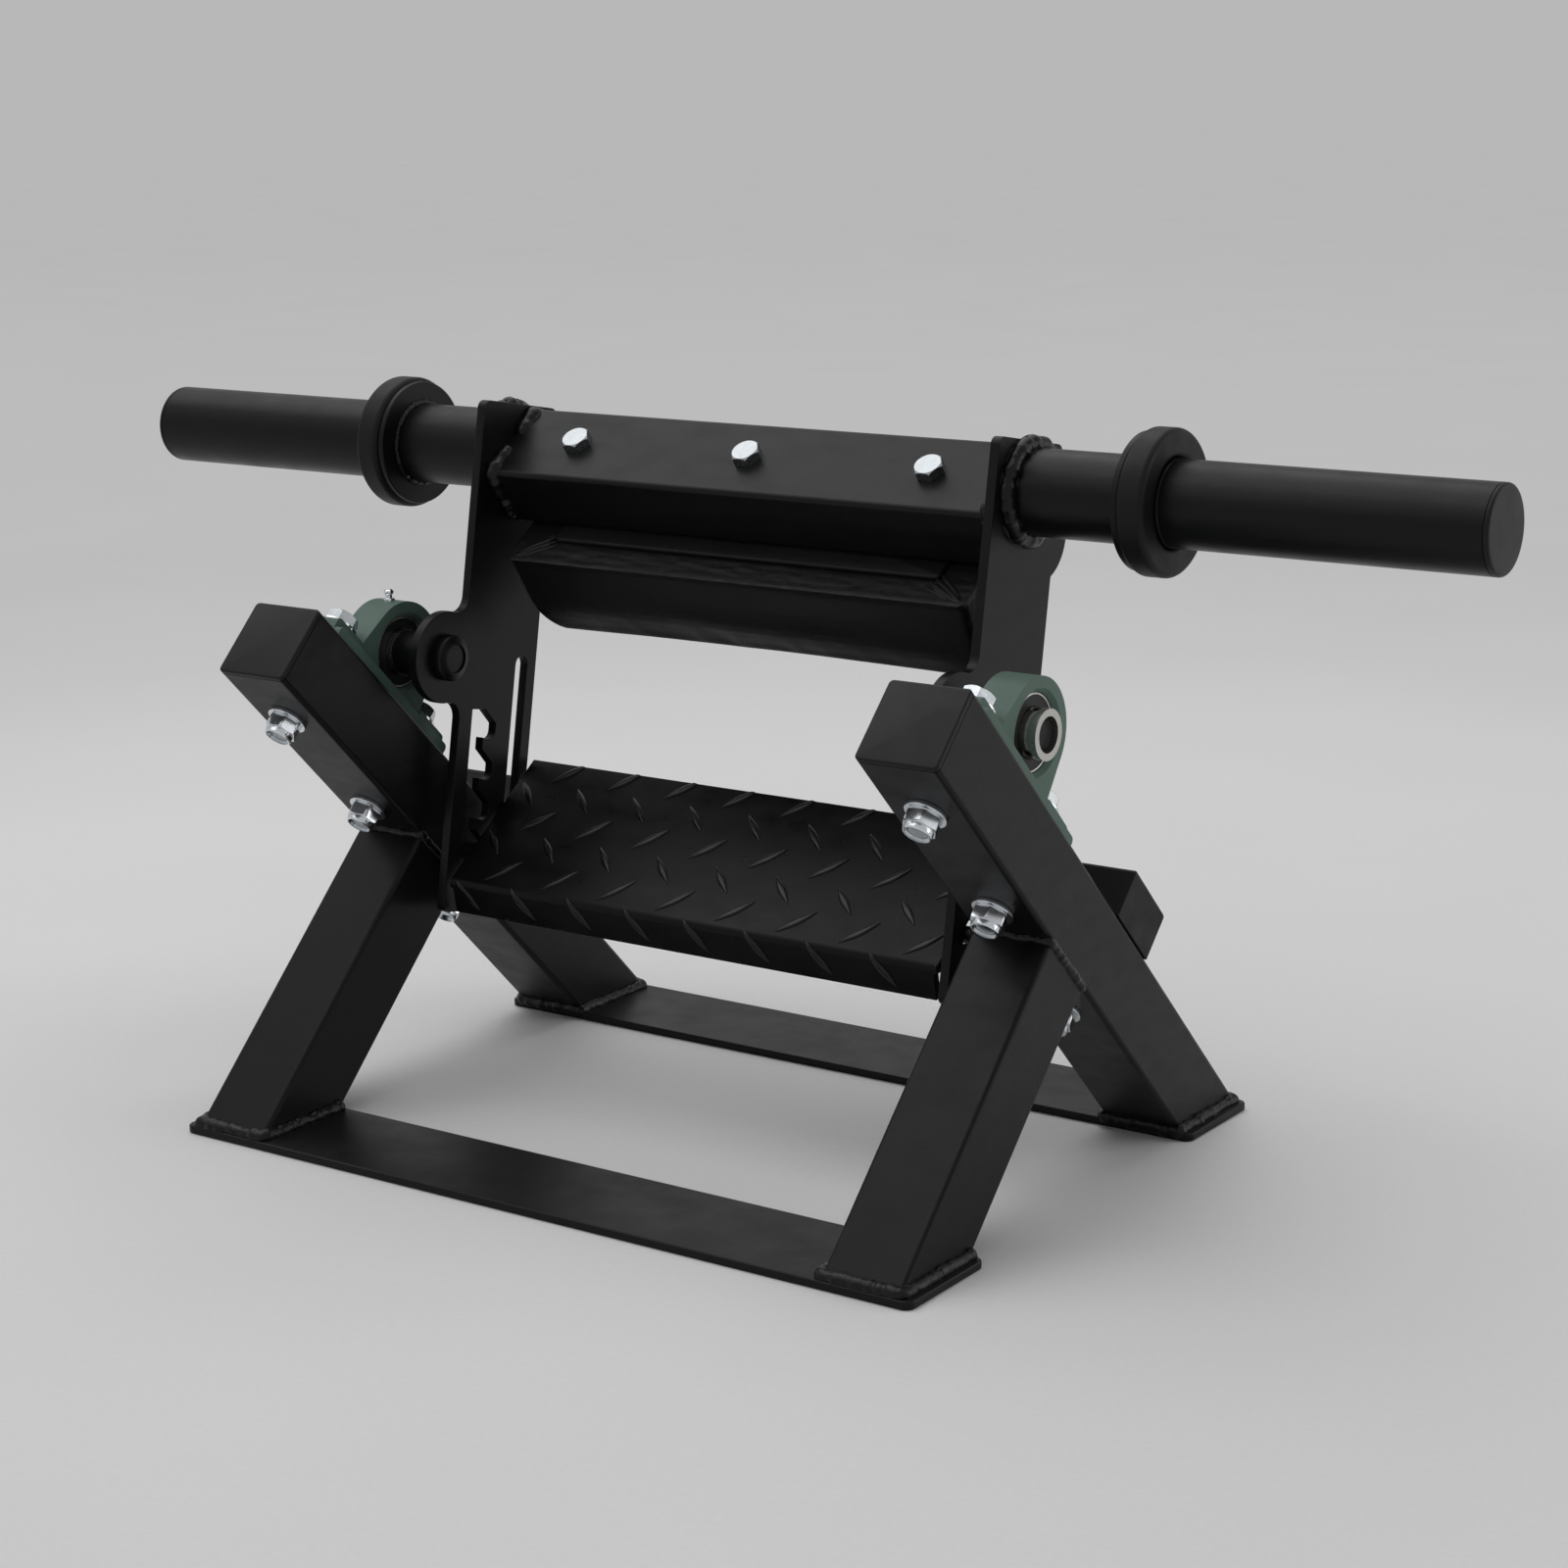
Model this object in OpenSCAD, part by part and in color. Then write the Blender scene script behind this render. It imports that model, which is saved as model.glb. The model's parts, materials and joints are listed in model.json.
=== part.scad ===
// Plate-loaded lower-leg trainer: a welded base with two pillow-block bearings,
// a swinging frame with two weight sleeves and a foot pad, and a footplate that hangs in hook slots.
// X runs across the machine, Y from the user's side to the rear, Z up. The origin is the middle of the base.

/* [Base frame] */
// Depth of the base over both foot bars
base_d = 380; // [370:5:420]
// Width of each foot bar
foot_bar_w = 75; // [74:1:90]
// Thickness of each foot bar
foot_bar_t = 5; // [4:0.5:8]
// Corner radius of each foot bar
foot_bar_r = 6; // [2:0.5:12]
// Length of foot bar outside each leg
foot_bar_end = 8; // [4:1:30]
// Side of the square leg tube
leg_w = 50; // [48:1:52]
// Wall of the leg tube
leg_wall = 3; // [2:0.25:4]
// Outer corner radius of the leg tube
leg_r = 3; // [2.5:0.25:7]
// Lean of the long legs from the floor
leg_ang = 45; // [42:0.5:47]
// Length of the long leg's centre line, end cap included
long_leg_l = 406; // [395:1:420]
// Rear foot bar left bare behind the long leg
rear_inset = 1.5; // [0:0.5:4]
// Front foot bar left bare before the short leg
front_inset = 3.5; // [0:0.5:4]
// Thickness of the leg end cap's flange
cap_t = 3.5; // [2:0.5:6]
// Depth of the leg end cap's plug
cap_plug_l = 14; // [8:1:22]
// Wall of the end caps' plugs
cap_wall = 2; // [1.5:0.25:3]

/* [Pillow-block bearings] */
// Distance of the bearing from the long leg's top end
bearing_k = 91.5; // [86:0.5:96]
// Height of the bearing's axis over the leg
bearing_h = 33.3; // [33:0.1:38]
// Length of the housing's base
housing_l = 127; // [122:1:132]
// Width of the housing's base
housing_w = 38; // [34:1:46]
// Thickness of the housing's feet
housing_foot_t = 14; // [12:0.5:16]
// Thickness of the base's edges beside the feet
housing_edge_t = 8; // [6:0.5:11]
// Radius of the housing's ring
housing_ring_r = 31; // [28:0.5:32]
// Width of the housing's ring
housing_ring_w = 23; // [21:0.5:34]
// Spacing of the housing's two bolts
housing_bolt_pitch = 95; // [92:1:98]
// Radius of the spherical seat in the housing
seat_r = 23.5; // [23:0.25:24.5]
// Width of the bearing's outer ring
outer_ring_w = 17; // [16:0.5:20]
// Radius of the balls' pitch circle
ball_pitch_r = 16.9; // [16.8:0.05:17.1]
// Diameter of the balls
ball_d = 7.94; // [7.8:0.02:8.1]
// Number of balls
ball_count = 8; // [6:1:9]
// Length of the inner ring on the plate's side
inner_ring_in = 12.7; // [11:0.1:16]
// Length of the inner ring on the set screws' side
inner_ring_out = 18.3; // [16:0.1:22]
// Outer radius of the inner ring
inner_ring_r = 14.2; // [13.8:0.1:14.5]
// Diameter of the axle
axle_d = 20; // [18:0.5:21]

/* [Bumpers] */
// Distance of the bumper's middle from the leg's top end
bumper_k = 244; // [240:1:252]
// Length of the bumper along the leg
bumper_l = 48; // [42:1:56]
// Height of the bumper
bumper_h = 31; // [26:1:38]
// Edge radius of the bumper
bumper_r = 3; // [1:0.5:6]
// Diameter of the disc moulded into the bumper
bumper_disc_d = 28; // [24:1:34]

/* [Swinging frame] */
// Clear width between the side plates
inner_w = 355; // [340:5:370]
// Thickness of the side plates
plate_t = 6; // [5:0.5:8]
// Gap between a side plate and the leg beside it
side_gap = 13.5; // [11:0.5:20]
// Backward lean of the frame at rest
lean = 10.2; // [6:0.2:14]
// Width of the side plate
plate_w = 70; // [68:1:76]
// Distance of the plate's front edge behind the axle
plate_front = 16.6; // [14:0.2:19]
// Height of the side plate over the axle
plate_up = 156.5; // [155:0.5:164]
// Depth of the side plate under the axle
plate_down = 156.5; // [154:0.5:166]
// Corner radius of the side plate
plate_r = 5; // [2:0.5:9]
// Radius of the lobe round the axle
lobe_r = 28; // [26:0.5:32]
// Fillet between the lobe and the front edge
lobe_fillet = 10; // [6:0.5:12]
// Radius of the bulge behind the cross tube
bulge_r = 28; // [24:0.5:30]
// Diameter of the axle's head
axle_head_d = 28; // [26:0.5:32]
// Thickness of the axle's head
axle_head_t = 6.5; // [5:0.5:10]
// Depth of the axle's end inside the inner ring
axle_recess = 3.5; // [2:0.5:4.5]
// Outer diameter of the spacer on the axle
spacer_d = 27; // [24:0.5:28]

/* [Cross tube and weight sleeves] */
// Long side of the cross tube
tube_w = 60; // [56:1:64]
// Short side of the cross tube
tube_h = 40; // [36:1:44]
// Wall of the cross tube
tube_wall = 3; // [2:0.25:4]
// Outer corner radius of the cross tube
tube_r = 3; // [2.5:0.25:6]
// Tilt of the cross tube in the frame
tube_ang = 45; // [42:0.5:48]
// Cross tube's centre behind the axle
tube_y = 57.6; // [55:0.2:59]
// Cross tube's centre over the axle
tube_z = 120.4; // [118:0.2:122]
// Weight sleeve's axis behind the axle
sleeve_y = 52.5; // [50:0.5:54]
// Weight sleeve's axis over the axle
sleeve_z = 128.4; // [126:0.2:130]
// Diameter of the weight sleeve
sleeve_d = 48.3; // [47:0.1:49.5]
// Wall of the weight sleeve
sleeve_wall = 3.2; // [2.5:0.1:5]
// How far the sleeve's root stands over its loading end, so that the collar seats on it
sleeve_seat = 0.3; // [0.3:0.1:1]
// Sleeve length that takes plates
load_l = 183; // [120:1:260]
// Gap between the leg and the collar
collar_gap = 8; // [6:0.5:24]
// Diameter of the collar's steel disc
collar_disc_d = 76; // [70:1:80]
// Thickness of the collar's steel disc
collar_disc_t = 4; // [3:0.5:8]
// Diameter of the collar's rubber ring
collar_ring_d = 81; // [76:1:90]
// Thickness of the collar's rubber ring
collar_ring_t = 16.5; // [8:0.5:18]
// Length of the weld that joins sleeve and plate
sleeve_weld_l = 7; // [4:0.5:9]
// Thickness of the sleeve cap's flange
sleeve_cap_t = 3.5; // [2.5:0.5:6]
// Depth of the sleeve cap's plug
sleeve_plug_l = 16; // [8:1:30]

/* [Foot pad] */
// Length of the cushion
pad_l = 324; // [300:2:332]
// Depth of the cushion at its seam
pad_d = 121; // [112:1:126]
// Thickness of the cushion
pad_t = 51; // [38:1:56]
// Fullness of the cushion's long sides
pad_bulge = 3.5; // [0:0.5:6]
// Amount that the cushion's ends draw in
pad_draw = 3; // [0:0.5:6]
// Radius of the cushion's lower edge
pad_edge = 9; // [6:1:17]
// Crown of the cushion's face
pad_crown = 3; // [0:0.5:5]
// Length of the pad's board
board_l = 274; // [264:2:288]
// Depth of the pad's board
board_d = 84; // [76:1:94]
// Thickness of the pad's board
board_t = 12; // [9:0.5:15]
// Height of the board over the cushion's seam
board_rise = 2; // [1:0.5:4]
// Distance between neighbouring pad bolts
pad_bolt_pitch = 125; // [110:1:126]

/* [Hook slots] */
// Front wall of the hook slot behind the plate's front edge
hook_front = 12.2; // [11:0.2:14]
// Width of the hook slot's channel
channel_w = 12; // [11.6:0.2:13]
// Reach of each pocket behind the channel
pocket_reach = 11.3; // [11:0.1:13]
// Depth of the hook slot's top under the axle
hook_drop = 31.4; // [29:0.2:33]
// Drop of the channel's slanted top across a pocket
pocket_slant = 9; // [8:0.5:10]
// Depth of a pocket's seat under its top
pocket_depth = 18.6; // [18:0.2:19.4]
// Height of the nose over the seat's bottom
nose_lip = 1.2; // [0.6:0.2:2]
// Distance between neighbouring pockets
pocket_pitch = 25; // [24:0.5:26]
// Number of pockets
pocket_count = 4; // [3:1:4]
// Middle of the straight slot behind the plate's front edge
slot_mid = 55.9; // [54.6:0.1:57]
// Width of the straight slot
slot_w = 11.2; // [10.8:0.1:12.4]
// Height of the straight slot's top over the axle
slot_up = 2; // [-4:0.5:5]

/* [Footplate] */
// Diameter of the footplate's rods
rod_d = 10; // [9.6:0.1:10.2]
// Height of the rear rod over the front rod
rod_rise = 26; // [25:0.5:27]
// Reach of each rod outside the side plate
rod_reach = 6.5; // [3:0.5:8]
// Thickness of the tread plate
tread_t = 5; // [3:0.5:6]
// Length of tread before the front rod
tread_front = 30; // [27:0.5:33]
// Length of tread behind the rear rod
tread_rear = 34; // [20:0.5:38]
// Height of the front lip
lip_h = 17.5; // [10:0.5:20]
// Angle that the front lip is bent down from the tread
lip_turn = 65; // [45:1:80]
// Gap between tread plate and side plate
tread_gap = 2.5; // [1:0.5:6]
// Amount that the lip is shorter at each end
lip_relief = 2; // [0:0.5:12]

/* [Fasteners] */
// Diameter of the frame bolts
bolt_d = 12; // [10:0.5:12]
// Width across flats of the frame bolts and nuts
bolt_af = 18; // [17:0.5:19]
// Height of the frame bolts' heads
bolt_head_h = 7.5; // [6:0.5:9]
// Height of the lock nuts
nut_h = 12; // [10:0.5:14]
// Diameter of the washers
washer_d = 24; // [22:0.5:28]
// Thickness of the washers
washer_t = 2.5; // [1.5:0.25:3]
// Diameter of the pad bolts
pad_bolt_d = 10; // [6:0.5:10]
// Width across flats of the pad bolts
pad_bolt_af = 16; // [12:0.5:17]
// Height of the pad bolts' heads
pad_bolt_head_h = 6.5; // [4:0.5:8]

/* [Hidden] */
$fn = 64;

// Clearances
slip = 0.05;
seat_gap = 0.3;
hole_gap = 0.5;

// Places across the machine
leg_x = inner_w / 2 + plate_t + side_gap + leg_w / 2;
plate_out = inner_w / 2 + plate_t;
foot_bar_l = 2 * (leg_x + leg_w / 2 + foot_bar_end);
collar_in = leg_x + leg_w / 2 + collar_gap;
collar_out = collar_in + collar_disc_t + collar_ring_t;
sleeve_end = collar_out + load_l;
sleeve_l = sleeve_end - plate_out;
ring_start = leg_x - inner_ring_in;
axle_l = leg_x + inner_ring_out - axle_recess - inner_w / 2;

// Places of the legs and of the bearing's axis
rear_foot_y = base_d / 2 - rear_inset - leg_w / 2 / sin(leg_ang);
front_foot_y = -(base_d / 2 - front_inset - leg_w / 2 / cos(leg_ang));
leg_top_y = rear_foot_y - long_leg_l * cos(leg_ang);
leg_top_z = foot_bar_t + long_leg_l * sin(leg_ang);
short_k = (front_foot_y - leg_top_y) * cos(leg_ang) - (foot_bar_t - leg_top_z) * sin(leg_ang);
pivot_y = leg_top_y + bearing_k * cos(leg_ang) + (leg_w / 2 + bearing_h) * sin(leg_ang);
pivot_z = leg_top_z - bearing_k * sin(leg_ang) + (leg_w / 2 + bearing_h) * cos(leg_ang);
housing_bolt_k = [for (s = [-1, 1]) bearing_k + s * housing_bolt_pitch / 2];

// Bearing sections
race_r = ball_d / 2 + slip;
outer_land_r = ball_pitch_r + 2.4;
housing_bore_r = sqrt(pow(seat_r, 2) - pow(outer_ring_w / 2, 2)) + 0.2;
seal_t = 1.2;
seal_r = outer_land_r + 1.2;
seal_x = outer_ring_w / 2 - seal_t - 0.4;
cage_w = 9.6;
cage_wall = 2.4;
set_screw_d = 6;
set_screw_x = inner_ring_out - 6.5;
set_screw_angles = [20, 140];
axle_r = axle_d / 2;
housing_slot_l = 19;
housing_flank = housing_bolt_pitch / 2 - washer_d / 2 - hole_gap;
housing_end_r = 3;
housing_boss_w = washer_d + 2;
bevel_start = outer_ring_w / 2 + 0.5;
bevel_slope = (seat_r + 1 - housing_bore_r) / (housing_ring_w / 2 - bevel_start);
nipple_h = 7.5;
nipple_ang = 45;

// Sleeve, cap and collar sections
sleeve_r = sleeve_d / 2;
sleeve_root_r = sleeve_r + sleeve_seat;
sleeve_step_l = 1;
sleeve_weld_r = sleeve_root_r + sleeve_weld_l;
collar_edge = 3.5;
cap_edge = sleeve_cap_t / 2;

// Hook slot and rods, in the swinging frame with the axle at its origin
channel_y = plate_front + hook_front;
pocket_y = channel_y + channel_w;
pocket_back = pocket_y + pocket_reach;
seat_hole_r = rod_d / 2 + seat_gap;
slot_y = plate_front + slot_mid;
front_rod_y = pocket_back - seat_hole_r;
front_rod_z = -hook_drop - (pocket_count - 1) * pocket_pitch - pocket_depth + seat_hole_r;
rear_rod_z = front_rod_z + rod_rise;
rod_ang = atan2(rod_rise, slot_y - front_rod_y);
rod_span = norm([rod_rise, slot_y - front_rod_y]);
slot_down = -rear_rod_z + slot_w / 2 + 4;
tread_half = inner_w / 2 - tread_gap;
bend_steps = 8;

// Pad, in the cross tube's own frame
board_top = tube_h / 2;
cushion_top = board_top + board_rise;
tee_flange_d = 22;
tee_flange_t = 1.5;
tee_barrel_d = pad_bolt_d + 2.4;
pad_bolt_places = [for (i = [-1:1]) i * pad_bolt_pitch];

function ring_points(half_x, half_y, corner, steps) = [
    for (c = [0:3]) for (i = [0:steps]) let (
        a = 90 * (c + i / steps),
        sx = (c == 0 || c == 3) ? 1 : -1,
        sy = (c == 0 || c == 1) ? 1 : -1
    ) [sx * (half_x - corner) + corner * cos(a), sy * (half_y - corner) + corner * sin(a)]
];

module rounded_rect(w, h, r) {
    square([w - 2 * r, h], center = true);
    square([w, h - 2 * r], center = true);
    for (x = [-1, 1]) for (y = [-1, 1])
        translate([x * (w / 2 - r), y * (h / 2 - r)]) circle(r);
}

module tube_section(w, h, r, wall) {
    difference() {
        rounded_rect(w, h, r);
        rounded_rect(w - 2 * wall, h - 2 * wall, r - wall > 1 ? r - wall : 1);
    }
}

// A profile drawn in Y and Z, extruded along X
module along_x(length, center = true) {
    rotate([90, 0, 90]) linear_extrude(height = length, center = center) children();
}

module x_cylinder(length, d, from = 0) {
    translate([from, 0, 0]) rotate([0, 90, 0]) cylinder(h = length, d = d);
}

module left() {
    mirror([1, 0, 0]) children();
}

module both_sides() {
    children();
    left() children();
}

// The long leg's frame: Y runs down the leg from its top end, Z stands off its upper face
module leg_frame() {
    translate([leg_x, leg_top_y, leg_top_z]) rotate([-leg_ang, 0, 0]) children();
}

// The frame of a bearing: its origin is the bearing's centre, and Z stands off the leg
module bearing_frame() {
    leg_frame() translate([0, bearing_k, leg_w / 2 + bearing_h]) children();
}

module swing_frame() {
    translate([0, pivot_y, pivot_z]) rotate([-lean, 0, 0]) children();
}

// The cross tube's frame: Y runs up its face to the rear, and -Z stands off its lower face
module tube_frame() {
    swing_frame() translate([0, tube_y, tube_z]) rotate([tube_ang, 0, 0]) children();
}

module sleeve_frame() {
    swing_frame() translate([0, sleeve_y, sleeve_z]) children();
}

module foot_bar() {
    color("#1b1b1c") linear_extrude(height = foot_bar_t)
        rounded_rect(foot_bar_l, foot_bar_w, foot_bar_r);
}

module foot_bar_front() {
    translate([0, -(base_d - foot_bar_w) / 2, 0]) foot_bar();
}

module foot_bar_rear() {
    translate([0, (base_d - foot_bar_w) / 2, 0]) foot_bar();
}

module above_foot_bars() {
    difference() {
        children();
        translate([leg_x - leg_w, -base_d, foot_bar_t - base_d]) cube([2 * leg_w, 2 * base_d, base_d]);
    }
}

module leg_hole(k) {
    translate([0, k, -leg_w]) cylinder(h = 2 * leg_w, d = bolt_d + 2 * hole_gap);
}

module long_leg() {
    color("#1b1b1c") above_foot_bars() leg_frame() difference() {
        translate([0, cap_t, 0]) rotate([-90, 0, 0])
            linear_extrude(height = long_leg_l + leg_w) tube_section(leg_w, leg_w, leg_r, leg_wall);
        for (k = housing_bolt_k) leg_hole(k);
        leg_hole(bumper_k);
    }
}

module short_leg() {
    color("#1b1b1c") above_foot_bars() leg_frame()
        translate([0, short_k, -leg_w / 2 - long_leg_l]) linear_extrude(height = long_leg_l)
            tube_section(leg_w, leg_w, leg_r, leg_wall);
}

module leg_cap() {
    plug_w = leg_w - 2 * leg_wall - 2 * seat_gap;
    plug_r = leg_r - leg_wall > 1 ? leg_r - leg_wall : 1;
    color("#202021") leg_frame() rotate([-90, 0, 0]) {
        linear_extrude(height = cap_t) rounded_rect(leg_w, leg_w, leg_r);
        translate([0, 0, cap_t]) linear_extrude(height = cap_plug_l)
            tube_section(plug_w, plug_w, plug_r, cap_wall);
    }
}

// Outline of the housing over its base, with flanks that meet the ring tangentially
module housing_outline() {
    foot_y = housing_flank;
    drop = housing_foot_t - bearing_h;
    reach = norm([foot_y, drop]);
    a = atan2(drop, foot_y) + acos(housing_ring_r / reach);
    touch = housing_ring_r * [cos(a), sin(a)];
    circle(housing_ring_r);
    polygon([
        [-foot_y, drop - 1], [foot_y, drop - 1], [foot_y, drop], touch,
        [-touch[0], touch[1]], [-foot_y, drop]
    ]);
}

module housing_base(height) {
    translate([0, height / 2 - bearing_h]) rounded_rect(housing_l, height, housing_end_r);
    translate([-housing_l / 2, -bearing_h]) square([housing_l, height / 2]);
}

// The feet are thicker than the base's edges, where the washers sit
module housing_bosses() {
    intersection() {
        housing_base(housing_foot_t);
        for (flip = [0, 1]) mirror([flip, 0]) translate([housing_flank, -bearing_h])
            square([housing_l, housing_foot_t]);
    }
}

// Bevel that widens the bore outside the bearing's outer ring
module housing_bevels() {
    length = housing_ring_w / 2 - bevel_start + 0.5;
    for (s = [-1, 1]) rotate([0, s * 90, 0]) translate([0, 0, bevel_start])
        cylinder(h = length, r1 = housing_bore_r, r2 = housing_bore_r + bevel_slope * length);
}

module bearing_housing() {
    color("#24483a") bearing_frame() difference() {
        union() {
            along_x(housing_w) housing_base(housing_edge_t);
            along_x(housing_boss_w) housing_bosses();
            along_x(housing_ring_w) {
                housing_base(housing_foot_t);
                housing_outline();
            }
        }
        rotate([0, 90, 0]) sphere(r = seat_r + slip);
        housing_bevels();
        x_cylinder(2 * housing_w, 2 * housing_bore_r, -housing_w);
        for (s = [-1, 1]) translate([0, s * housing_bolt_pitch / 2, -bearing_h - 1])
            linear_extrude(height = housing_foot_t + 2)
                rounded_rect(bolt_d + 1, housing_slot_l, bolt_d / 2);
    }
}

module ball_race() {
    rotate([0, 90, 0]) rotate_extrude() translate([ball_pitch_r, 0]) circle(race_r);
}

module bearing_outer_ring() {
    color("#c9c9c6") bearing_frame() difference() {
        intersection() {
            rotate([0, 90, 0]) sphere(r = seat_r);
            x_cylinder(outer_ring_w, 3 * seat_r, -outer_ring_w / 2);
        }
        x_cylinder(2 * outer_ring_w, 2 * outer_land_r, -outer_ring_w);
        x_cylinder(outer_ring_w, 2 * seal_r + 2 * slip, seal_x - slip);
        x_cylinder(outer_ring_w, 2 * seal_r + 2 * slip, -outer_ring_w - seal_x + slip);
        ball_race();
    }
}

module ball_places() {
    for (i = [0:ball_count - 1]) rotate([i * 360 / ball_count, 0, 0])
        translate([0, ball_pitch_r, 0]) children();
}

module bearing_balls() {
    color("#dededc") bearing_frame() ball_places() sphere(d = ball_d);
}

module bearing_cage() {
    color("#b08d4c") bearing_frame() difference() {
        x_cylinder(cage_w, 2 * ball_pitch_r + cage_wall, -cage_w / 2);
        x_cylinder(2 * cage_w, 2 * ball_pitch_r - cage_wall, -cage_w);
        ball_places() rotate([90, 0, 0])
            cylinder(h = 2 * cage_wall, r = race_r + 0.1, center = true);
    }
}

module bearing_seal() {
    difference() {
        x_cylinder(seal_t, 2 * seal_r, seal_x);
        x_cylinder(outer_ring_w, 2 * inner_ring_r + 2 * seat_gap);
    }
}

module bearing_seals() {
    color("#161616") bearing_frame() both_sides() bearing_seal();
}

// Nipple on the housing's ring, turned from the housing's middle
module grease_nipple(turn) {
    bearing_frame() rotate([turn, 0, 0]) translate([0, 0, housing_ring_r]) {
        cylinder(h = 2, d = 6.6, $fn = 6);
        translate([0, 0, 2]) cylinder(h = nipple_h - 5, d = 4.4);
        translate([0, 0, nipple_h - 3]) cylinder(h = 3, d1 = 6.2, d2 = 5);
    }
}

module grease_nipples() {
    color("#d5d5d2") {
        left() grease_nipple(nipple_ang);
        grease_nipple(-nipple_ang);
    }
}

// Bolt with its seat at z = 0, its head above and its shank below
module hex_bolt(d, af, head_h, length) {
    intersection() {
        cylinder(h = head_h, d = af / cos(30), $fn = 6);
        translate([0, 0, -head_h]) cylinder(h = 2 * head_h, d1 = 3 * af, d2 = af * 0.98);
    }
    translate([0, 0, -length]) cylinder(h = length, d = d);
}

module washer() {
    difference() {
        cylinder(h = washer_t, d = washer_d);
        translate([0, 0, -1]) cylinder(h = washer_t + 2, d = bolt_d + hole_gap);
    }
}

// Lock nut on z = 0 with its round collar upward
module lock_nut() {
    difference() {
        union() {
            cylinder(h = nut_h * 0.72, d = bolt_af / cos(30), $fn = 6);
            cylinder(h = nut_h, d = bolt_af * 0.95);
        }
        translate([0, 0, -1]) cylinder(h = nut_h + 2, d = bolt_d + 2 * slip);
    }
}

module at_housing_bolts() {
    both_sides() for (k = housing_bolt_k) leg_frame() translate([0, k, 0]) children();
}

module at_bumpers() {
    both_sides() leg_frame() translate([0, bumper_k, 0]) children();
}

module under_leg() {
    translate([0, 0, -leg_w / 2]) mirror([0, 0, 1]) children();
}

module housing_bolts() {
    length = leg_w + housing_foot_t + 2 * washer_t + nut_h - 2;
    color("#c8ccce") at_housing_bolts() translate([0, 0, leg_w / 2 + housing_foot_t + washer_t])
        hex_bolt(bolt_d, bolt_af, bolt_head_h, length);
}

module housing_washers() {
    color("#c8ccce") at_housing_bolts() {
        under_leg() washer();
        translate([0, 0, leg_w / 2 + housing_foot_t]) washer();
    }
}

module housing_nuts() {
    color("#c8ccce") at_housing_bolts() under_leg() translate([0, 0, washer_t]) lock_nut();
}

// The stud has a disc that is moulded into the bumper
module stud(gap) {
    disc_z = leg_w / 2 + bumper_h / 3;
    stud_end = leg_w / 2 + washer_t + nut_h - 2;
    translate([0, 0, disc_z - gap]) cylinder(h = 4 + 2 * gap, d = bumper_disc_d + 2 * gap);
    translate([0, 0, -stud_end]) cylinder(h = stud_end + disc_z, d = bolt_d + 2 * gap);
}

// Section of the bumper across one of its sides
module bumper_section(width) {
    translate([-width / 2, 0]) square([width, bumper_h - bumper_r]);
    translate([bumper_r - width / 2, 0]) square([width - 2 * bumper_r, bumper_h]);
    for (s = [-1, 1]) translate([s * (width / 2 - bumper_r), bumper_h - bumper_r]) circle(bumper_r);
}

module bumper() {
    color("#1a1a1a") leg_frame() translate([0, bumper_k, 0]) difference() {
        translate([0, 0, leg_w / 2]) intersection() {
            along_x(2 * leg_w) bumper_section(bumper_l);
            rotate([0, 0, 90]) along_x(2 * bumper_l) bumper_section(leg_w);
        }
        stud(slip);
    }
}

module bumper_studs() {
    color("#c8ccce") at_bumpers() stud(0);
}

module bumper_washers() {
    color("#c8ccce") at_bumpers() under_leg() washer();
}

module bumper_nuts() {
    color("#c8ccce") at_bumpers() under_leg() translate([0, 0, washer_t]) lock_nut();
}

module lobe_outline() {
    fillet_y = plate_front - lobe_fillet;
    fillet_z = sqrt(pow(lobe_r + lobe_fillet, 2) - pow(fillet_y, 2));
    circle(lobe_r);
    for (flip = [0, 1]) mirror([0, flip]) difference() {
        polygon([[0, 0], [plate_front + 1, 0], [plate_front + 1, fillet_z], [fillet_y, fillet_z]]);
        translate([fillet_y, fillet_z]) circle(lobe_fillet);
    }
}

module plate_outline() {
    translate([plate_front + plate_w / 2, (plate_up - plate_down) / 2])
        rounded_rect(plate_w, plate_up + plate_down, plate_r);
    lobe_outline();
    translate([tube_y + sin(tube_ang) * tube_h / 2, tube_z - cos(tube_ang) * tube_h / 2]) circle(bulge_r);
}

// One pocket: a slanted top, a straight back and a round seat behind the nose
module hook_pocket() {
    seat_z = -pocket_depth + seat_hole_r;
    polygon([
        [channel_y, 0], [pocket_y, 0], [pocket_back, -pocket_slant], [pocket_back, seat_z],
        [front_rod_y, -pocket_depth], [pocket_y, nose_lip - pocket_depth], [channel_y, nose_lip - pocket_depth]
    ]);
    translate([front_rod_y, seat_z]) circle(seat_hole_r);
}

module hook_slot() {
    channel_h = (pocket_count - 1) * pocket_pitch + pocket_depth - nose_lip;
    channel_end_r = 3;
    for (i = [0:pocket_count - 1]) translate([0, -hook_drop - i * pocket_pitch]) hook_pocket();
    translate([channel_y + channel_w / 2, -hook_drop - channel_h / 2])
        rounded_rect(channel_w, channel_h, channel_end_r);
}

module straight_slot() {
    slot_run = slot_up + slot_down - slot_w;
    translate([slot_y, (slot_up - slot_down) / 2]) {
        square([slot_w, slot_run], center = true);
        for (s = [-1, 1]) translate([0, s * slot_run / 2]) circle(slot_w / 2);
    }
}

module side_plate() {
    color("#1b1b1c") swing_frame() translate([inner_w / 2, 0, 0]) along_x(plate_t, false) difference() {
        plate_outline();
        circle(axle_r + slip);
        hook_slot();
        straight_slot();
    }
}

module pad_bolt_holes(d) {
    for (x = pad_bolt_places) translate([x, 0, -tube_w]) cylinder(h = 2 * tube_w, d = d);
}

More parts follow.
